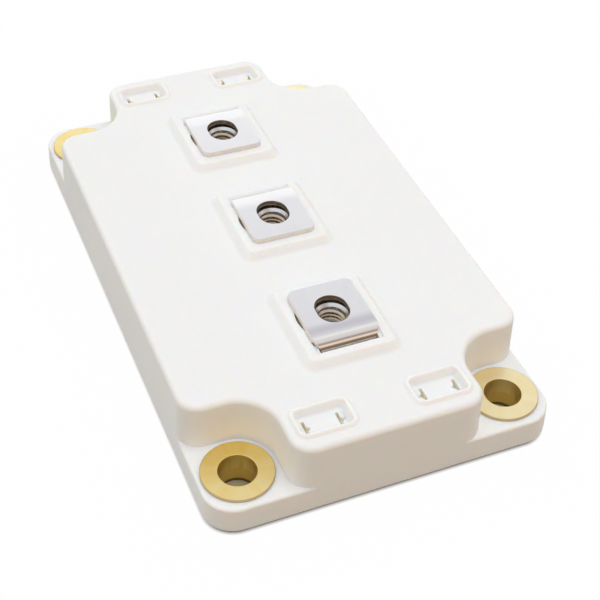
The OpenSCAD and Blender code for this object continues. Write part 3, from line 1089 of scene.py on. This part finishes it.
@dataclass
class TerminalPad:
    """A sloping pad under a terminal tab, with the nut's recess and the strip's slot."""

    free_reach: float = 8.1 * MM
    strip_reach: float = 9.6 * MM
    half_width: float = 7.6 * MM
    corner: float = 1.03 * MM
    edge_round: float = 0.45 * MM
    fillet: float = 0.9 * MM
    recess: float = 6.35 * MM
    recess_floor: float = 15.2 * MM
    recess_sides: int = 96
    nut_corner: float = 8.32 * MM / math.sqrt(3.0)
    nut_room: float = 3.0 * MM
    slot: Tuple[float, float, float] = (-7.6 * MM, -6.15 * MM, -5.15 * MM)
    slot_half: float = 5.3 * MM
    mouth_half: float = 6.05 * MM
    mouth_depth: float = 0.3 * MM
    lead: Pair = (0.8 * MM, 0.65 * MM)
    relief: float = 0.7 * MM
    relief_reach: float = 1.25 * MM
    sunk: float = 0.05 * MM
    skin: float = 0.004 * MM
    edge_break: float = 0.08 * MM
    over: float = 1.0 * MM

    @property
    def half(self) -> Pair:
        """Half length and half width of the top."""
        return ((self.free_reach + self.strip_reach) / 2, self.half_width)

    @property
    def middle(self) -> float:
        """Middle of the top, from the screw axis."""
        return (self.free_reach - self.strip_reach) / 2

    def relief_cutter(self, at: float, turned: bool) -> bpy.types.Object:
        """Block that clears the place where a pad is set in.

        Args:
            at: Place of the screw axis along the module.
            turned: Whether the pad is turned half round.

        Returns:
            The cutter.
        """
        middle = (at + (-self.middle if turned else self.middle), 0.0)
        section = [(self.relief_reach, PAD_TOP + self.over)]
        base = ROOF - self.relief
        return Bench.terrace("relief", self.half, self.corner, base, section, middle)

    def slot_side(self, low: float) -> Section:
        """Side view of the slot for the upright strip, with the slope that leads the strip in.

        Args:
            low: Height where the slot ends.

        Returns:
            Outline as X and Z.
        """
        outer, inner, mouth = self.slot
        run, drop = self.lead
        under = [(outer, low), (inner, low), (inner, PAD_TOP - (mouth - inner)), (mouth, PAD_TOP)]
        return under + self.lip(mouth, outer - run) + [(outer, PAD_TOP - drop)]

    def mouth_side(self) -> Section:
        """Side view of the shallow step beside the slot, where the tab narrows to the strip.

        Returns:
            Outline as X and Z.
        """
        outer, _, mouth = self.slot
        run, drop = self.lead
        deep = self.mouth_depth
        low = PAD_TOP - deep
        under = [(outer - run * (1.0 - deep / drop), low), (mouth - deep, low), (mouth, PAD_TOP)]
        return under + self.lip(mouth, outer - run)

    def lip(self, inner: float, outer: float) -> Section:
        """Upper end of a cutter, from the inner edge to the outer one."""
        high = PAD_TOP + self.over
        return [(inner, high), (outer, high), (outer, PAD_TOP)]

    def build(self) -> bpy.types.Object:
        """Makes one pad about its screw axis, with the upright strip on the -X side.

        Returns:
            The pad.
        """
        section = set_in(bank(PAD_TOP, ROOF + self.skin, self.edge_round, self.fillet))
        low = ROOF - self.relief - self.sunk
        under = low - self.over
        at = (self.middle, 0.0)
        pad = Bench.terrace("terminal_pad", self.half, self.corner, low, section, at)
        recess = Bench.drum(self.recess_floor, self.recess, 2 * self.over, self.recess_sides)
        Bench.cut(pad, recess)
        Bench.cut(pad, Bench.drum(under, self.nut_corner, self.nut_room, 6))
        sides = ((self.slot_half, self.slot_side(under)), (self.mouth_half, self.mouth_side()))
        for half, side in sides:
            outline = [(x, -half, z) for x, z in side]
            Bench.cut(pad, Bench.prism("slot_cutter", outline, (0.0, 2 * half, 0.0)))
        Bench.break_edges(pad, self.edge_break)
        return pad


@dataclass
class SignalPocket:
    """A rimmed pocket in the roof with two pin slots."""

    rim_top: float = 15.2 * MM
    floor: float = 13.7 * MM
    half: Pair = (3.0 * MM, 4.9 * MM)
    corner: float = 1.4 * MM
    rim: float = 0.4 * MM
    rim_rounds: Pair = (0.14 * MM, 0.3 * MM)
    wall_rounds: Pair = (0.45 * MM, 0.4 * MM)
    wall_slope: float = 24.0
    pin_pitch: float = 5.9 * MM
    pin_half: float = 1.6 * MM
    pin_width: float = 0.5 * MM
    pin_depth: float = 1.1 * MM
    pin_shift: float = 0.5 * MM
    ramp: float = 0.65 * MM
    ramp_depth: float = 0.8 * MM
    base: float = 12.25 * MM
    relief_reach: float = 0.5 * MM
    sunk: float = 0.05 * MM
    skin: float = 0.003 * MM
    edge_break: float = 0.05 * MM
    over: float = 0.3 * MM

    def section(self) -> Section:
        """Section over the rim and down the pocket's wall.

        Returns:
            Distances outside the outline with their heights, from the roof to the floor.
        """
        inner = bank(self.rim_top, self.floor, *self.wall_rounds, self.wall_slope)
        wall = [(-self.rim - out, level) for out, level in reversed(inner)]
        return set_in(bank(self.rim_top, ROOF + self.skin, *self.rim_rounds)) + wall

    def relief_cutter(self, at: Pair) -> bpy.types.Object:
        """Block that clears the place where a pocket is set in."""
        section = [(self.relief_reach, self.rim_top + MM)]
        return Bench.terrace("relief", self.half, self.corner, self.base + self.sunk, section, at)

    def build(self, shift: float) -> bpy.types.Object:
        """Makes one pocket about its middle, with +Y pointing away from the long axis.

        Args:
            shift: How far its pin slots lie off the middle along X.

        Returns:
            The block with its pocket.
        """
        section = self.section()
        piece = Bench.terrace("signal_pocket", self.half, self.corner, self.base, section)
        low, high = self.floor - self.pin_depth, self.floor + self.over
        left, right = shift - self.pin_half, shift + self.pin_half
        z, side = self.floor - self.ramp_depth, self.pin_half / 2
        for y in (-self.pin_pitch / 2, self.pin_pitch / 2):
            Bench.cut(piece, Bench.box((left, y, low), (right, y + self.pin_width, high)))
            back = y + self.pin_width / 2
            wedge = [(shift - side, back, z), (shift, y - self.ramp, z), (shift + side, back, z)]
            Bench.cut(piece, Bench.prism("ramp_cutter", wedge, (0.0, 0.0, high - z)))
        Bench.break_edges(piece, self.edge_break)
        return piece


@dataclass
class Moulding:
    """The moulded housing: its drafted shell with softened pads and pockets set in."""

    pocket_at: Pair = (47.8 * MM, 10.1 * MM)
    foot: float = 0.8 * MM
    foot_break: float = 0.16 * MM
    level: float = 0.02 * MM

    def rounding(self, a: Vector, b: Vector) -> float:
        """Rounding in metres of the shell's edge between two places: only its foot is broken."""
        at_foot = all(abs(p.z - self.foot) < self.level for p in (a, b))
        return self.foot_break if at_foot else 0.0

    def build(self, plastic: bpy.types.Material) -> bpy.types.Object:
        """Makes the housing.

        Args:
            plastic: Its finish.

        Returns:
            The piece.
        """
        piece = Bench.copy_of_node("housing", "housing_moulding")
        Bench.soften(piece, self.rounding, self.foot_break, least_deg=20.0)
        pad_maker, pocket_maker = TerminalPad(), SignalPocket()
        pad = pad_maker.build()
        pockets = {sy: pocket_maker.build(sy * pocket_maker.pin_shift) for sy in (-1, 1)}
        inserts = []
        for number, x in enumerate(AXES_X, 1):
            turned = number == 3
            Bench.cut(piece, pad_maker.relief_cutter(x, turned))
            inserts.append(Bench.moved_copy(pad, f"pad_{number}", turned, (x, 0.0, 0.0)))
        for sx in (-1, 1):
            for sy in (-1, 1):
                at = (sx * self.pocket_at[0], sy * self.pocket_at[1])
                Bench.cut(piece, pocket_maker.relief_cutter(at))
                name = f"pocket_{sx}_{sy}"
                inserts.append(Bench.moved_copy(pockets[sy], name, sy < 0, (*at, 0.0)))
        for pattern in (pad, *pockets.values()):
            bpy.data.objects.remove(pattern)
        for insert in inserts:
            Bench.cut(piece, insert, "UNION")
        piece.data.materials.clear()
        Bench.smooth(piece, 40.0)
        return Bench.issue(piece, "housing", Slot.HOUSING, plastic)


@dataclass
class Bushings:
    """The four turned and pressed brass bushings with their flanges."""

    bore: float = 3.2 * MM
    sleeve: float = 4.7 * MM
    flange: float = 6.1 * MM
    low: float = 3.0 * MM
    under: float = 5.3 * MM
    high: float = 6.3 * MM
    break_outer: float = 0.14 * MM
    break_bore: float = 0.1 * MM
    steps: int = 128
    edge_steps: int = 4

    def profile(self) -> Section:
        """Closed section from the bore outwards, with turned edges.

        Returns:
            Radii with their heights.
        """
        section = [
            (self.bore, self.low),
            (self.sleeve, self.low),
            (self.sleeve, self.under),
            (self.flange, self.under),
        ]
        outer = (self.flange - self.break_outer, self.high - self.break_outer)
        inner = (self.bore + self.break_bore, self.high - self.break_bore)
        section += arc(outer, self.break_outer, 0.0, 90.0, self.edge_steps)
        section += arc(inner, self.break_bore, 90.0, 180.0, self.edge_steps)
        return section

    def build(self, brass: bpy.types.Material) -> None:
        """Turns one bushing and copies it to the four corners.

        Args:
            brass: Their finish.
        """
        pattern = Bench.lathe("bushing_pattern", self.profile(), True, self.steps)
        x, y = CORNER_AT
        corners = [(sx * x, sy * y, 0.0) for sx in (-1, 1) for sy in (-1, 1)]
        for number, corner in enumerate(corners, 1):
            piece = Bench.moved_copy(pattern, f"brass_bushing_{number}", False, corner)
            Bench.smooth(piece, 35.0)
            Bench.issue(piece, f"bushing_{number}", Slot.BRASS, brass)
        bpy.data.objects.remove(pattern)


@dataclass
class TerminalNuts:
    """The three captive hexagon nuts with real threads."""

    across_flats: float = 8.0 * MM
    low: float = 11.6 * MM
    high: float = 15.6 * MM
    core: float = 2.1 * MM
    root: float = 2.48 * MM
    mouth: float = 2.95 * MM
    lower_break: float = 0.2 * MM
    edge_break: float = 0.15 * MM
    over: float = 0.5 * MM
    bore_steps: int = 64
    thread_pitch: float = 0.8 * MM
    thread_half: float = 0.40
    thread_flat: float = 0.07
    thread_start: float = 0.3 * MM
    thread_short: float = 1.5 * MM
    thread_sunk: float = 0.05 * MM
    thread_steps: int = 48

    def bore_cutter(self) -> bpy.types.Object:
        """The drilled and countersunk bore, at the thread's root.

        Returns:
            The cutter.
        """
        slope = self.mouth - self.root
        edge = self.root + self.lower_break
        under, over = self.low - self.over, self.high + self.over
        section = [
            (0.0, under), (edge, under), (edge, self.low),
            (self.root, self.low + self.lower_break), (self.root, self.high - slope),
            (self.mouth, self.high), (self.mouth, over), (0.0, over),
        ]
        return Bench.lathe("bore_cutter", section, False, self.bore_steps)

    def thread(self) -> bpy.types.Object:
        """The thread's ridge, wound up the bore.

        Returns:
            The closed ridge.
        """
        half = self.thread_half * self.thread_pitch
        flat = self.thread_flat * self.thread_pitch
        middle = self.low + self.thread_start + half
        turns = int((self.high - self.low - self.thread_short) / self.thread_pitch)
        base = self.root + self.thread_sunk
        section = [(base, -half), (self.core, -flat), (self.core, flat), (base, half)]
        Bench.line([(r, 0.0, middle + z) for r, z in section], True)
        bpy.ops.object.mode_set(mode="OBJECT")
        ridge = Bench.named("thread_ridge")
        Bench.modify(
            ridge, "SCREW", axis="Z", angle=math.tau, screw_offset=self.thread_pitch,
            iterations=turns, steps=self.thread_steps, render_steps=self.thread_steps,
            use_merge_vertices=False, use_normal_calculate=True,
        )
        Bench.pick(ridge)
        bpy.ops.object.mode_set(mode="EDIT")
        bpy.ops.mesh.select_all(action="SELECT")
        bpy.ops.mesh.fill_holes(sides=8)
        Bench.close()
        return ridge

    def build(self, steel: bpy.types.Material) -> None:
        """Makes one nut and copies it under the three tabs.

        Args:
            steel: Their finish.
        """
        corner = self.across_flats / math.sqrt(3.0)
        pattern = Bench.drum(self.low, corner, self.high - self.low, 6)
        Bench.break_edges(pattern, self.edge_break, sharp_deg=40.0, clamp=True)
        Bench.cut(pattern, self.bore_cutter())
        Bench.join(pattern, [self.thread()])
        for number, x in enumerate(AXES_X, 1):
            piece = Bench.moved_copy(pattern, f"threaded_nut_{number}", False, (x, 0.0, 0.0))
            Bench.smooth(piece, 32.0)
            Bench.issue(piece, f"terminal_nut_{number}", Slot.NUT, steel)
        bpy.data.objects.remove(pattern)


@dataclass
class Terminals:
    """The three plated strips: stamped, pierced, and bent into tabs with soldered feet.

    The last one is turned round.
    """

    width: float = 12.0 * MM
    step: float = 1.1 * MM
    thickness: float = 1.0 * MM
    reach: float = 6.5 * MM
    strip_reach: float = 7.4 * MM
    bend: float = 1.0 * MM
    bend_steps: int = 14
    corner: float = 1.5 * MM
    corner_steps: int = 8
    hole: float = 2.85 * MM
    hole_sides: int = 80
    stretch: float = 0.5 * MM
    field_top: float = 4.4 * MM
    foot: float = 4.5 * MM
    edge_break: float = 0.07 * MM
    pierced_from: float = -4.0 * MM
    near: float = 0.01 * MM

    def sheet(self) -> bpy.types.Object:
        """The outer face of the bent strip, worked from the flat tab down to the foot.

        Returns:
            The open sheet.
        """
        outer = self.bend + self.thickness
        top = PAD_TOP + self.thickness
        bend_x = -self.strip_reach + outer
        high, low = top - outer, self.field_top + outer
        Bench.square(1.0)
        bpy.ops.transform.resize(value=(self.reach - bend_x, self.width, 1.0))
        bpy.ops.transform.translate(value=((self.reach + bend_x) / 2, 0.0, top))
        bpy.ops.object.mode_set(mode="OBJECT")
        piece = Bench.named("terminal_pattern")
        self.round_corners(piece)
        Bench.edit_points(piece, lambda co: co.x < bend_x + self.near, "EDGE")
        quarter = {"steps": self.bend_steps, "angle": math.pi / 2, "axis": (0.0, 1.0, 0.0)}
        upright, sole = (0.0, 0.0, low - high), (self.foot - outer, 0.0, 0.0)
        for level, along in ((high, upright), (low, sole)):
            bpy.ops.mesh.spin(center=(bend_x, 0.0, level), **quarter)
            bpy.ops.mesh.extrude_edges_move(TRANSFORM_OT_translate={"value": along})
        Bench.close(merge=True)
        self.narrow(piece, Vector((bend_x, 0.0, high)))
        tab = max(piece.data.polygons, key=lambda face: face.center.z)
        if tab.normal.z < 0.0:
            bpy.ops.object.mode_set(mode="EDIT")
            bpy.ops.mesh.flip_normals()
            bpy.ops.object.mode_set(mode="OBJECT")
        return piece

    def narrow(self, piece: bpy.types.Object, centre: Vector) -> None:
        """Draws the strip in from the tab's width to the upright's, row by row round the bend.

        Args:
            piece: The bent sheet.
            centre: Middle of the bend.
        """
        rows = {
            (round(v.co.x, 7), round(v.co.z, 7))
            for v in piece.data.vertices
            if v.co.x < centre.x + MERGE
        }
        for x, z in sorted(rows):
            turn = math.atan2(centre.x - x, z - centre.z) if z > centre.z else math.pi / 2
            inset = self.step * (math.sin(turn) + 1.0 - math.cos(turn)) / 2
            self.squeeze(piece, inset, lambda co: abs(co.x - x) < MERGE and abs(co.z - z) < MERGE)
        self.squeeze(piece, self.step, lambda co: co.z < centre.z and co.x > centre.x + MERGE)

    def squeeze(
        self, piece: bpy.types.Object, inset: float, wanted: Callable[[Vector], bool]
    ) -> None:
        """Moves points of the strip in from both edges.

        Args:
            piece: The bent sheet.
            inset: How far an edge moves in.
            wanted: Says of a place whether its point is moved.
        """
        Bench.edit_points(piece, wanted)
        bpy.ops.transform.resize(value=(1.0, 1.0 - 2 * inset / self.width, 1.0))
        bpy.ops.object.mode_set(mode="OBJECT")

    def round_corners(self, piece: bpy.types.Object) -> None:
        """Rounds the two corners of the tab's free edge.

        Args:
            piece: The flat tab.
        """
        Bench.edit_points(piece, lambda co: co.x > self.reach - self.near)
        bpy.ops.mesh.bevel(offset=self.corner, segments=self.corner_steps, affect="VERTICES")
        bpy.ops.object.mode_set(mode="OBJECT")

    def punch(self) -> bpy.types.Object:
        """The punch for the screw hole, stretched along the module.

        Returns:
            The cutter.
        """
        turns = [math.tau * (k + 0.5) / self.hole_sides for k in range(self.hole_sides)]
        z = PAD_TOP - self.thickness
        outline = []
        for c, s in ((math.cos(a), math.sin(a)) for a in turns):
            outline.append((self.hole * c + math.copysign(self.stretch, c), self.hole * s, z))
        return Bench.prism("punch", outline, (0.0, 0.0, 3 * self.thickness))

    def sheared(self, face: bpy.types.MeshPolygon) -> bool:
        """Whether a face is a cut edge: on the strip's sides, at the tab's end or in its hole."""
        at_end = abs(face.normal.z) < 0.1 and face.center.x > self.pierced_from
        return abs(face.normal.y) > 0.7 or at_end

    def build(self, tin: bpy.types.Material, edge: bpy.types.Material) -> None:
        """Makes one terminal and copies it to the three screw axes.

        Args:
            tin: Finish of the faces.
            edge: Finish of the sheared edges.
        """
        pattern = self.sheet()
        Bench.modify(
            pattern, "SOLIDIFY", thickness=self.thickness, offset=-1.0, use_even_offset=True,
            use_rim=True,
        )
        Bench.cut(pattern, self.punch())
        faces = pattern.data.polygons
        faces.foreach_set("material_index", [int(self.sheared(face)) for face in faces])
        Bench.break_edges(pattern, self.edge_break)
        for number, x in enumerate(AXES_X, 1):
            name = f"terminal_strip_{number}"
            piece = Bench.moved_copy(pattern, name, number == 3, (x, 0.0, 0.0))
            Bench.smooth(piece, 35.0)
            Bench.issue(piece, f"terminal_{number}", Slot.TERMINAL, tin, edge)
        bpy.data.objects.remove(pattern)


@dataclass
class BasePlate:
    """The copper base plate, its stamped edges broken."""

    edge_break: float = 0.2 * MM
    hole_edge: float = 3.5 * MM

    def breaking(self, a: Vector, _: Vector) -> float:
        """Rounding of the edge that starts at a place: none round the screw holes."""
        off = math.hypot(abs(a.x) - CORNER_AT[0], abs(a.y) - CORNER_AT[1])
        return 0.0 if off < self.hole_edge else self.edge_break

    def build(self, copper: bpy.types.Material) -> bpy.types.Object:
        """Makes the plate.

        Args:
            copper: Its finish.

        Returns:
            The piece.
        """
        piece = Bench.copy_of_node("base_plate", "copper_base_plate")
        Bench.soften(piece, self.breaking, self.edge_break, least_deg=30.0)
        Bench.smooth(piece, 35.0)
        return Bench.issue(piece, "base_plate", Slot.PLATE, copper)


class InnerStack:
    """The sealed inner pieces, which keep their solids and take their finishes."""

    ADHESIVE = CloudedFinish("cured_adhesive", (0.10, 0.10, 0.105), (0.06, 0.06, 0.065), 0.5)
    GEL = CloudedFinish("soft_gel", (0.74, 0.79, 0.80), (0.66, 0.72, 0.74), 0.12, 0.0, 0.1)
    CERAMIC = CloudedFinish("fired_ceramic", (0.86, 0.86, 0.83), (0.78, 0.78, 0.74), 0.5, 0.0, 2.5)
    FOIL = RolledCopper("copper_foil", (0.80, 0.47, 0.32), (0.62, 0.33, 0.21), 3.0, 0.22)
    SOLDER = CloudedFinish("dull_solder", (0.62, 0.63, 0.65), (0.42, 0.43, 0.45), 0.36, 1.0, 1.2)
    SILICON = CloudedFinish(
        "silicon_die", (0.20, 0.21, 0.24), (0.12, 0.13, 0.15), 0.14, 0.6, 0.6, 0.002
    )
    GROUPS = (
        (FOIL, ("back_copper", "chip_field", "landing_field", "anode_clip", "board_link")),
        (SOLDER, ("board_solder", "chip_solder")),
        (ADHESIVE, ("seal_bead",)),
        (GEL, ("gel_fill",)),
        (CERAMIC, ("ceramic_board",)),
        (SILICON, ("diode_chip",)),
    )

    def dress(self) -> None:
        """Gives each inner solid the finish of its group, by the start of its name."""
        for finish, starts in self.GROUPS:
            material = finish.make()
            for name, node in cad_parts.items():
                if name.startswith(starts):
                    node.data.materials.clear()
                    node.data.materials.append(material)
                    LOG.info("%s takes %s", name, material.name)


@dataclass
class Lamp:
    """One soft box."""

    name: str
    at: Point
    aim: Point
    size: Pair
    watts: float
    colour: Colour

    def hang(self) -> bpy.types.Object:
        """Hangs the lamp and turns it to its aim.

        Returns:
            The lamp, which metal doesn't mirror.
        """
        data = bpy.data.lights.new(self.name, "AREA")
        data.shape = "RECTANGLE"
        data.size, data.size_y = self.size
        data.energy = self.watts
        data.color = self.colour
        lamp = bpy.data.objects.new(self.name, data)
        lamp.location = self.at
        lamp.visible_glossy = False
        way = Vector(self.aim) - Vector(self.at)
        lamp.rotation_euler = way.to_track_quat("-Z", "Y").to_euler()
        bpy.context.scene.collection.objects.link(lamp)
        return lamp


@dataclass
class Studio:
    """Pale floor, soft light and the camera."""

    azimuth: float = 66.143
    elevation: float = 42.865
    roll: float = 2.449
    focal_px: float = 1273.0
    frame_px: float = 600.0
    sensor: float = 36.0
    offset: Point = (-5.484 * MM, -3.678 * MM, 245.041 * MM)
    ambient: float = 0.88
    cool: Colour = (0.97, 0.98, 1.0)
    shade: Colour = (0.46, 0.42, 0.37)
    shade_way: Point = (-0.9, 1.35, -1.62)
    warm: Colour = (0.755, 0.42, 0.18)
    warm_way: Point = (1.6, 0.0, -1.44)
    mirror: float = 1.15
    neutral: Colour = (0.80, 0.80, 0.81)
    neutral_side: Pair = (0.55, 0.3)
    neutral_sweep: Pair = (0.5, 0.1)
    floor_size: float = 6.0
    floor_glow: float = 0.985
    floor_gap: float = 0.1 * MM
    foot: Pair = (54.0 * MM, 31.0 * MM)
    foot_corner: float = 5.5 * MM
    foot_fade: float = 0.8 * MM
    shadow_reach: float = 60.0 * MM
    # Painted shade on the floor under the part's outline, seen only through its holes
    under_shade_paint: Colour = (0.38, 0.37, 0.30)
    open_paint: Colour = (0.44, 0.43, 0.36)

    # What metal mirrors, from the horizon ahead (0) by the zenith (0.5) to the one behind (1)
    bands: Tuple[Tuple[float, Colour], ...] = (
        (0.17, (1.00, 1.00, 1.00)),
        (0.21, (0.82, 0.82, 0.83)),
        (0.245, (0.78, 0.78, 0.79)),
        (0.28, (0.54, 0.52, 0.57)),
        (0.295, (0.54, 0.52, 0.57)),
        (0.32, (0.74, 0.73, 0.72)),
        (0.42, (0.87, 0.85, 0.82)),
        (0.53, (0.70, 0.66, 0.62)),
        (0.64, (0.66, 0.58, 0.54)),
        (0.73, (0.26, 0.19, 0.14)),
        (0.85, (1.00, 0.84, 0.68)),
        (0.95, (0.33, 0.23, 0.16)),
        (1.00, (0.12, 0.07, 0.04)),
    )

    def camera(self) -> bpy.types.Object:
        """Places the camera at the photograph's viewing angle.

        Returns:
            The camera.
        """
        a, e, r = (math.radians(v) for v in (self.azimuth, self.elevation, self.roll))
        back = Vector((math.sin(a) * math.cos(e), -math.cos(a) * math.cos(e), math.sin(e)))
        level = (-back).cross(Vector(UP)).normalized()
        drop = -level.cross(-back)
        right = math.cos(r) * level - math.sin(r) * drop
        down = math.sin(r) * level + math.cos(r) * drop
        data = bpy.data.cameras.new("camera")
        data.sensor_width = self.sensor
        data.lens = self.focal_px / self.frame_px * self.sensor
        data.clip_start, data.clip_end = 0.01, 50.0
        camera = bpy.data.objects.new("camera", data)
        turn = Matrix((right, -down, back)).transposed()
        place = -(right * self.offset[0] + down * self.offset[1] - back * self.offset[2])
        camera.matrix_world = Matrix.Translation(place) @ turn.to_4x4()
        bpy.context.scene.collection.objects.link(camera)
        bpy.context.scene.camera = camera
        return camera

    def walls(self, board: NodeBoard, ways: Sequence[Wire]) -> Wire:
        """Colour of the pale walls that metal mirrors, plain where they lie off to the side.

        Args:
            board: Board of the world.
            ways: The three parts of a direction.

        Returns:
            The colour in that direction.
        """
        x, y, height = ways
        sin, cos = math.sin(math.radians(self.azimuth)), math.cos(math.radians(self.azimuth))
        sweep = height.maths("ARCTAN2", y * cos - x * sin) / math.pi
        bands = board.wire(board.add("ShaderNodeValToRGB", {"stops": self.bands}, {0: sweep}))
        start, width = self.neutral_side
        off_side = ((start - (x * cos + y * sin)) / width).clamped()
        start, width = self.neutral_sweep
        behind = ((sweep - start) / width).clamped()
        return board.tint(off_side * behind, bands, self.neutral)

    def tent(self, board: NodeBoard, ways: Sequence[Wire]) -> Wire:
        """Colour of the soft light: cool white, shaded low down on one side and warm at one end.

        Args:
            board: Board of the world.
            ways: The three parts of a direction.

        Returns:
            The colour in that direction.
        """
        colour: Union[Wire, Colour] = self.cool
        for tone, way in ((self.shade, self.shade_way), (self.warm, self.warm_way)):
            towards = ways[0] * way[0] + ways[1] * way[1] + ways[2] * way[2]
            colour = board.tint(towards.clamped(), colour, tone)
        return colour

    def world(self) -> None:
        """White to the camera, pale walls in bands to metal, and soft light to all else."""
        world = bpy.data.worlds.new("studio")
        world.use_nodes = True
        bpy.context.scene.world = world
        board = NodeBoard(world.node_tree)
        ways = board.axes(board.wire(board.add("ShaderNodeTexCoord"), "Generated"))
        bounced = board.rays("Diffuse Depth").maths("MINIMUM", 1.0)
        kind = "ShaderNodeBackground"
        soft = board.light(kind, self.tent(board, ways), self.ambient)
        mirrored = board.light(kind, self.walls(board, ways), self.mirror + self.mirror * bounced)
        seen = board.light(kind, WHITE, 1.0)
        unseen = board.blend(board.rays("Is Glossy Ray"), soft, mirrored)
        direct = board.rays("Is Camera Ray", "Is Transmission Ray")
        board.add("ShaderNodeOutputWorld", None, {"Surface": board.blend(direct, unseen, seen)})

    def beyond(self, board: NodeBoard) -> Wire:
        """Distance outside the part's outline on the floor, drawn in by its corner radius.

        Args:
            board: Board of the floor's material.

        Returns:
            The distance, below 0 inside.
        """
        x, y, _ = board.axes(board.place())
        qx = abs(x) - (self.foot[0] - self.foot_corner)
        qy = abs(y) - (self.foot[1] - self.foot_corner)
        outside = span(qx.maths("MAXIMUM", 0.0), qy.maths("MAXIMUM", 0.0))
        return outside + qx.maths("MAXIMUM", qy).maths("MINIMUM", 0.0)

    def floor(self) -> bpy.types.Object:
        """A pale floor that stays white to the camera but keeps a little shadow.

        Returns:
            The floor.
        """
        Bench.clear()
        at = (0.0, 0.0, -self.floor_gap)
        bpy.ops.mesh.primitive_plane_add(size=self.floor_size, location=at)
        piece = Bench.named("floor")
        material, board = new_material("pale_floor")
        direct = board.rays("Is Camera Ray", "Is Glossy Ray", "Is Transmission Ray")
        beyond = self.beyond(board)
        open_floor = ((beyond - self.foot_corner) / self.foot_fade + 0.9).clamped()
        # Painted shade: the floor's paint is darker under the part
        colour = board.tint(open_floor, self.under_shade_paint, self.open_paint)
        paint = board.wire(board.add("ShaderNodeBsdfDiffuse", None, {"Color": colour}))
        glow = board.light("ShaderNodeEmission", WHITE, 1.0)
        far = (beyond / self.shadow_reach).clamped()
        share = (self.floor_glow + (1.0 - self.floor_glow) * far) * open_floor * direct
        both = board.blend(share, paint, glow)
        board.add("ShaderNodeOutputMaterial", None, {"Surface": both})
        piece.data.materials.append(material)
        return piece

    def build(self) -> None:
        """Sets up the whole studio, with one soft box overhead."""
        bpy.context.scene.view_settings.view_transform = "Standard"
        self.camera()
        self.world()
        self.floor()
        Lamp(
            name="overhead_box",
            at=(0.05, 0.14, 1.00),
            aim=(0.0, 0.0, 0.01),
            size=(0.4, 0.4),
            watts=2.85,
            colour=(0.90, 0.96, 1.0),
        ).hang()


def main() -> None:
    """Builds the studio and every piece of the module."""
    logging.basicConfig(level=logging.INFO, format="%(name)s: %(message)s")
    Studio().build()
    Moulding().build(MouldedPlastic().make())
    Bushings().build(TurnedBrass().make())
    Terminals().build(TinPlate().make(), ShearedEdge().make())
    TerminalNuts().build(PlatedSteel().make())
    BasePlate().build(RolledCopper().make())
    InnerStack().dress()


if __name__ == "__main__":
    main()
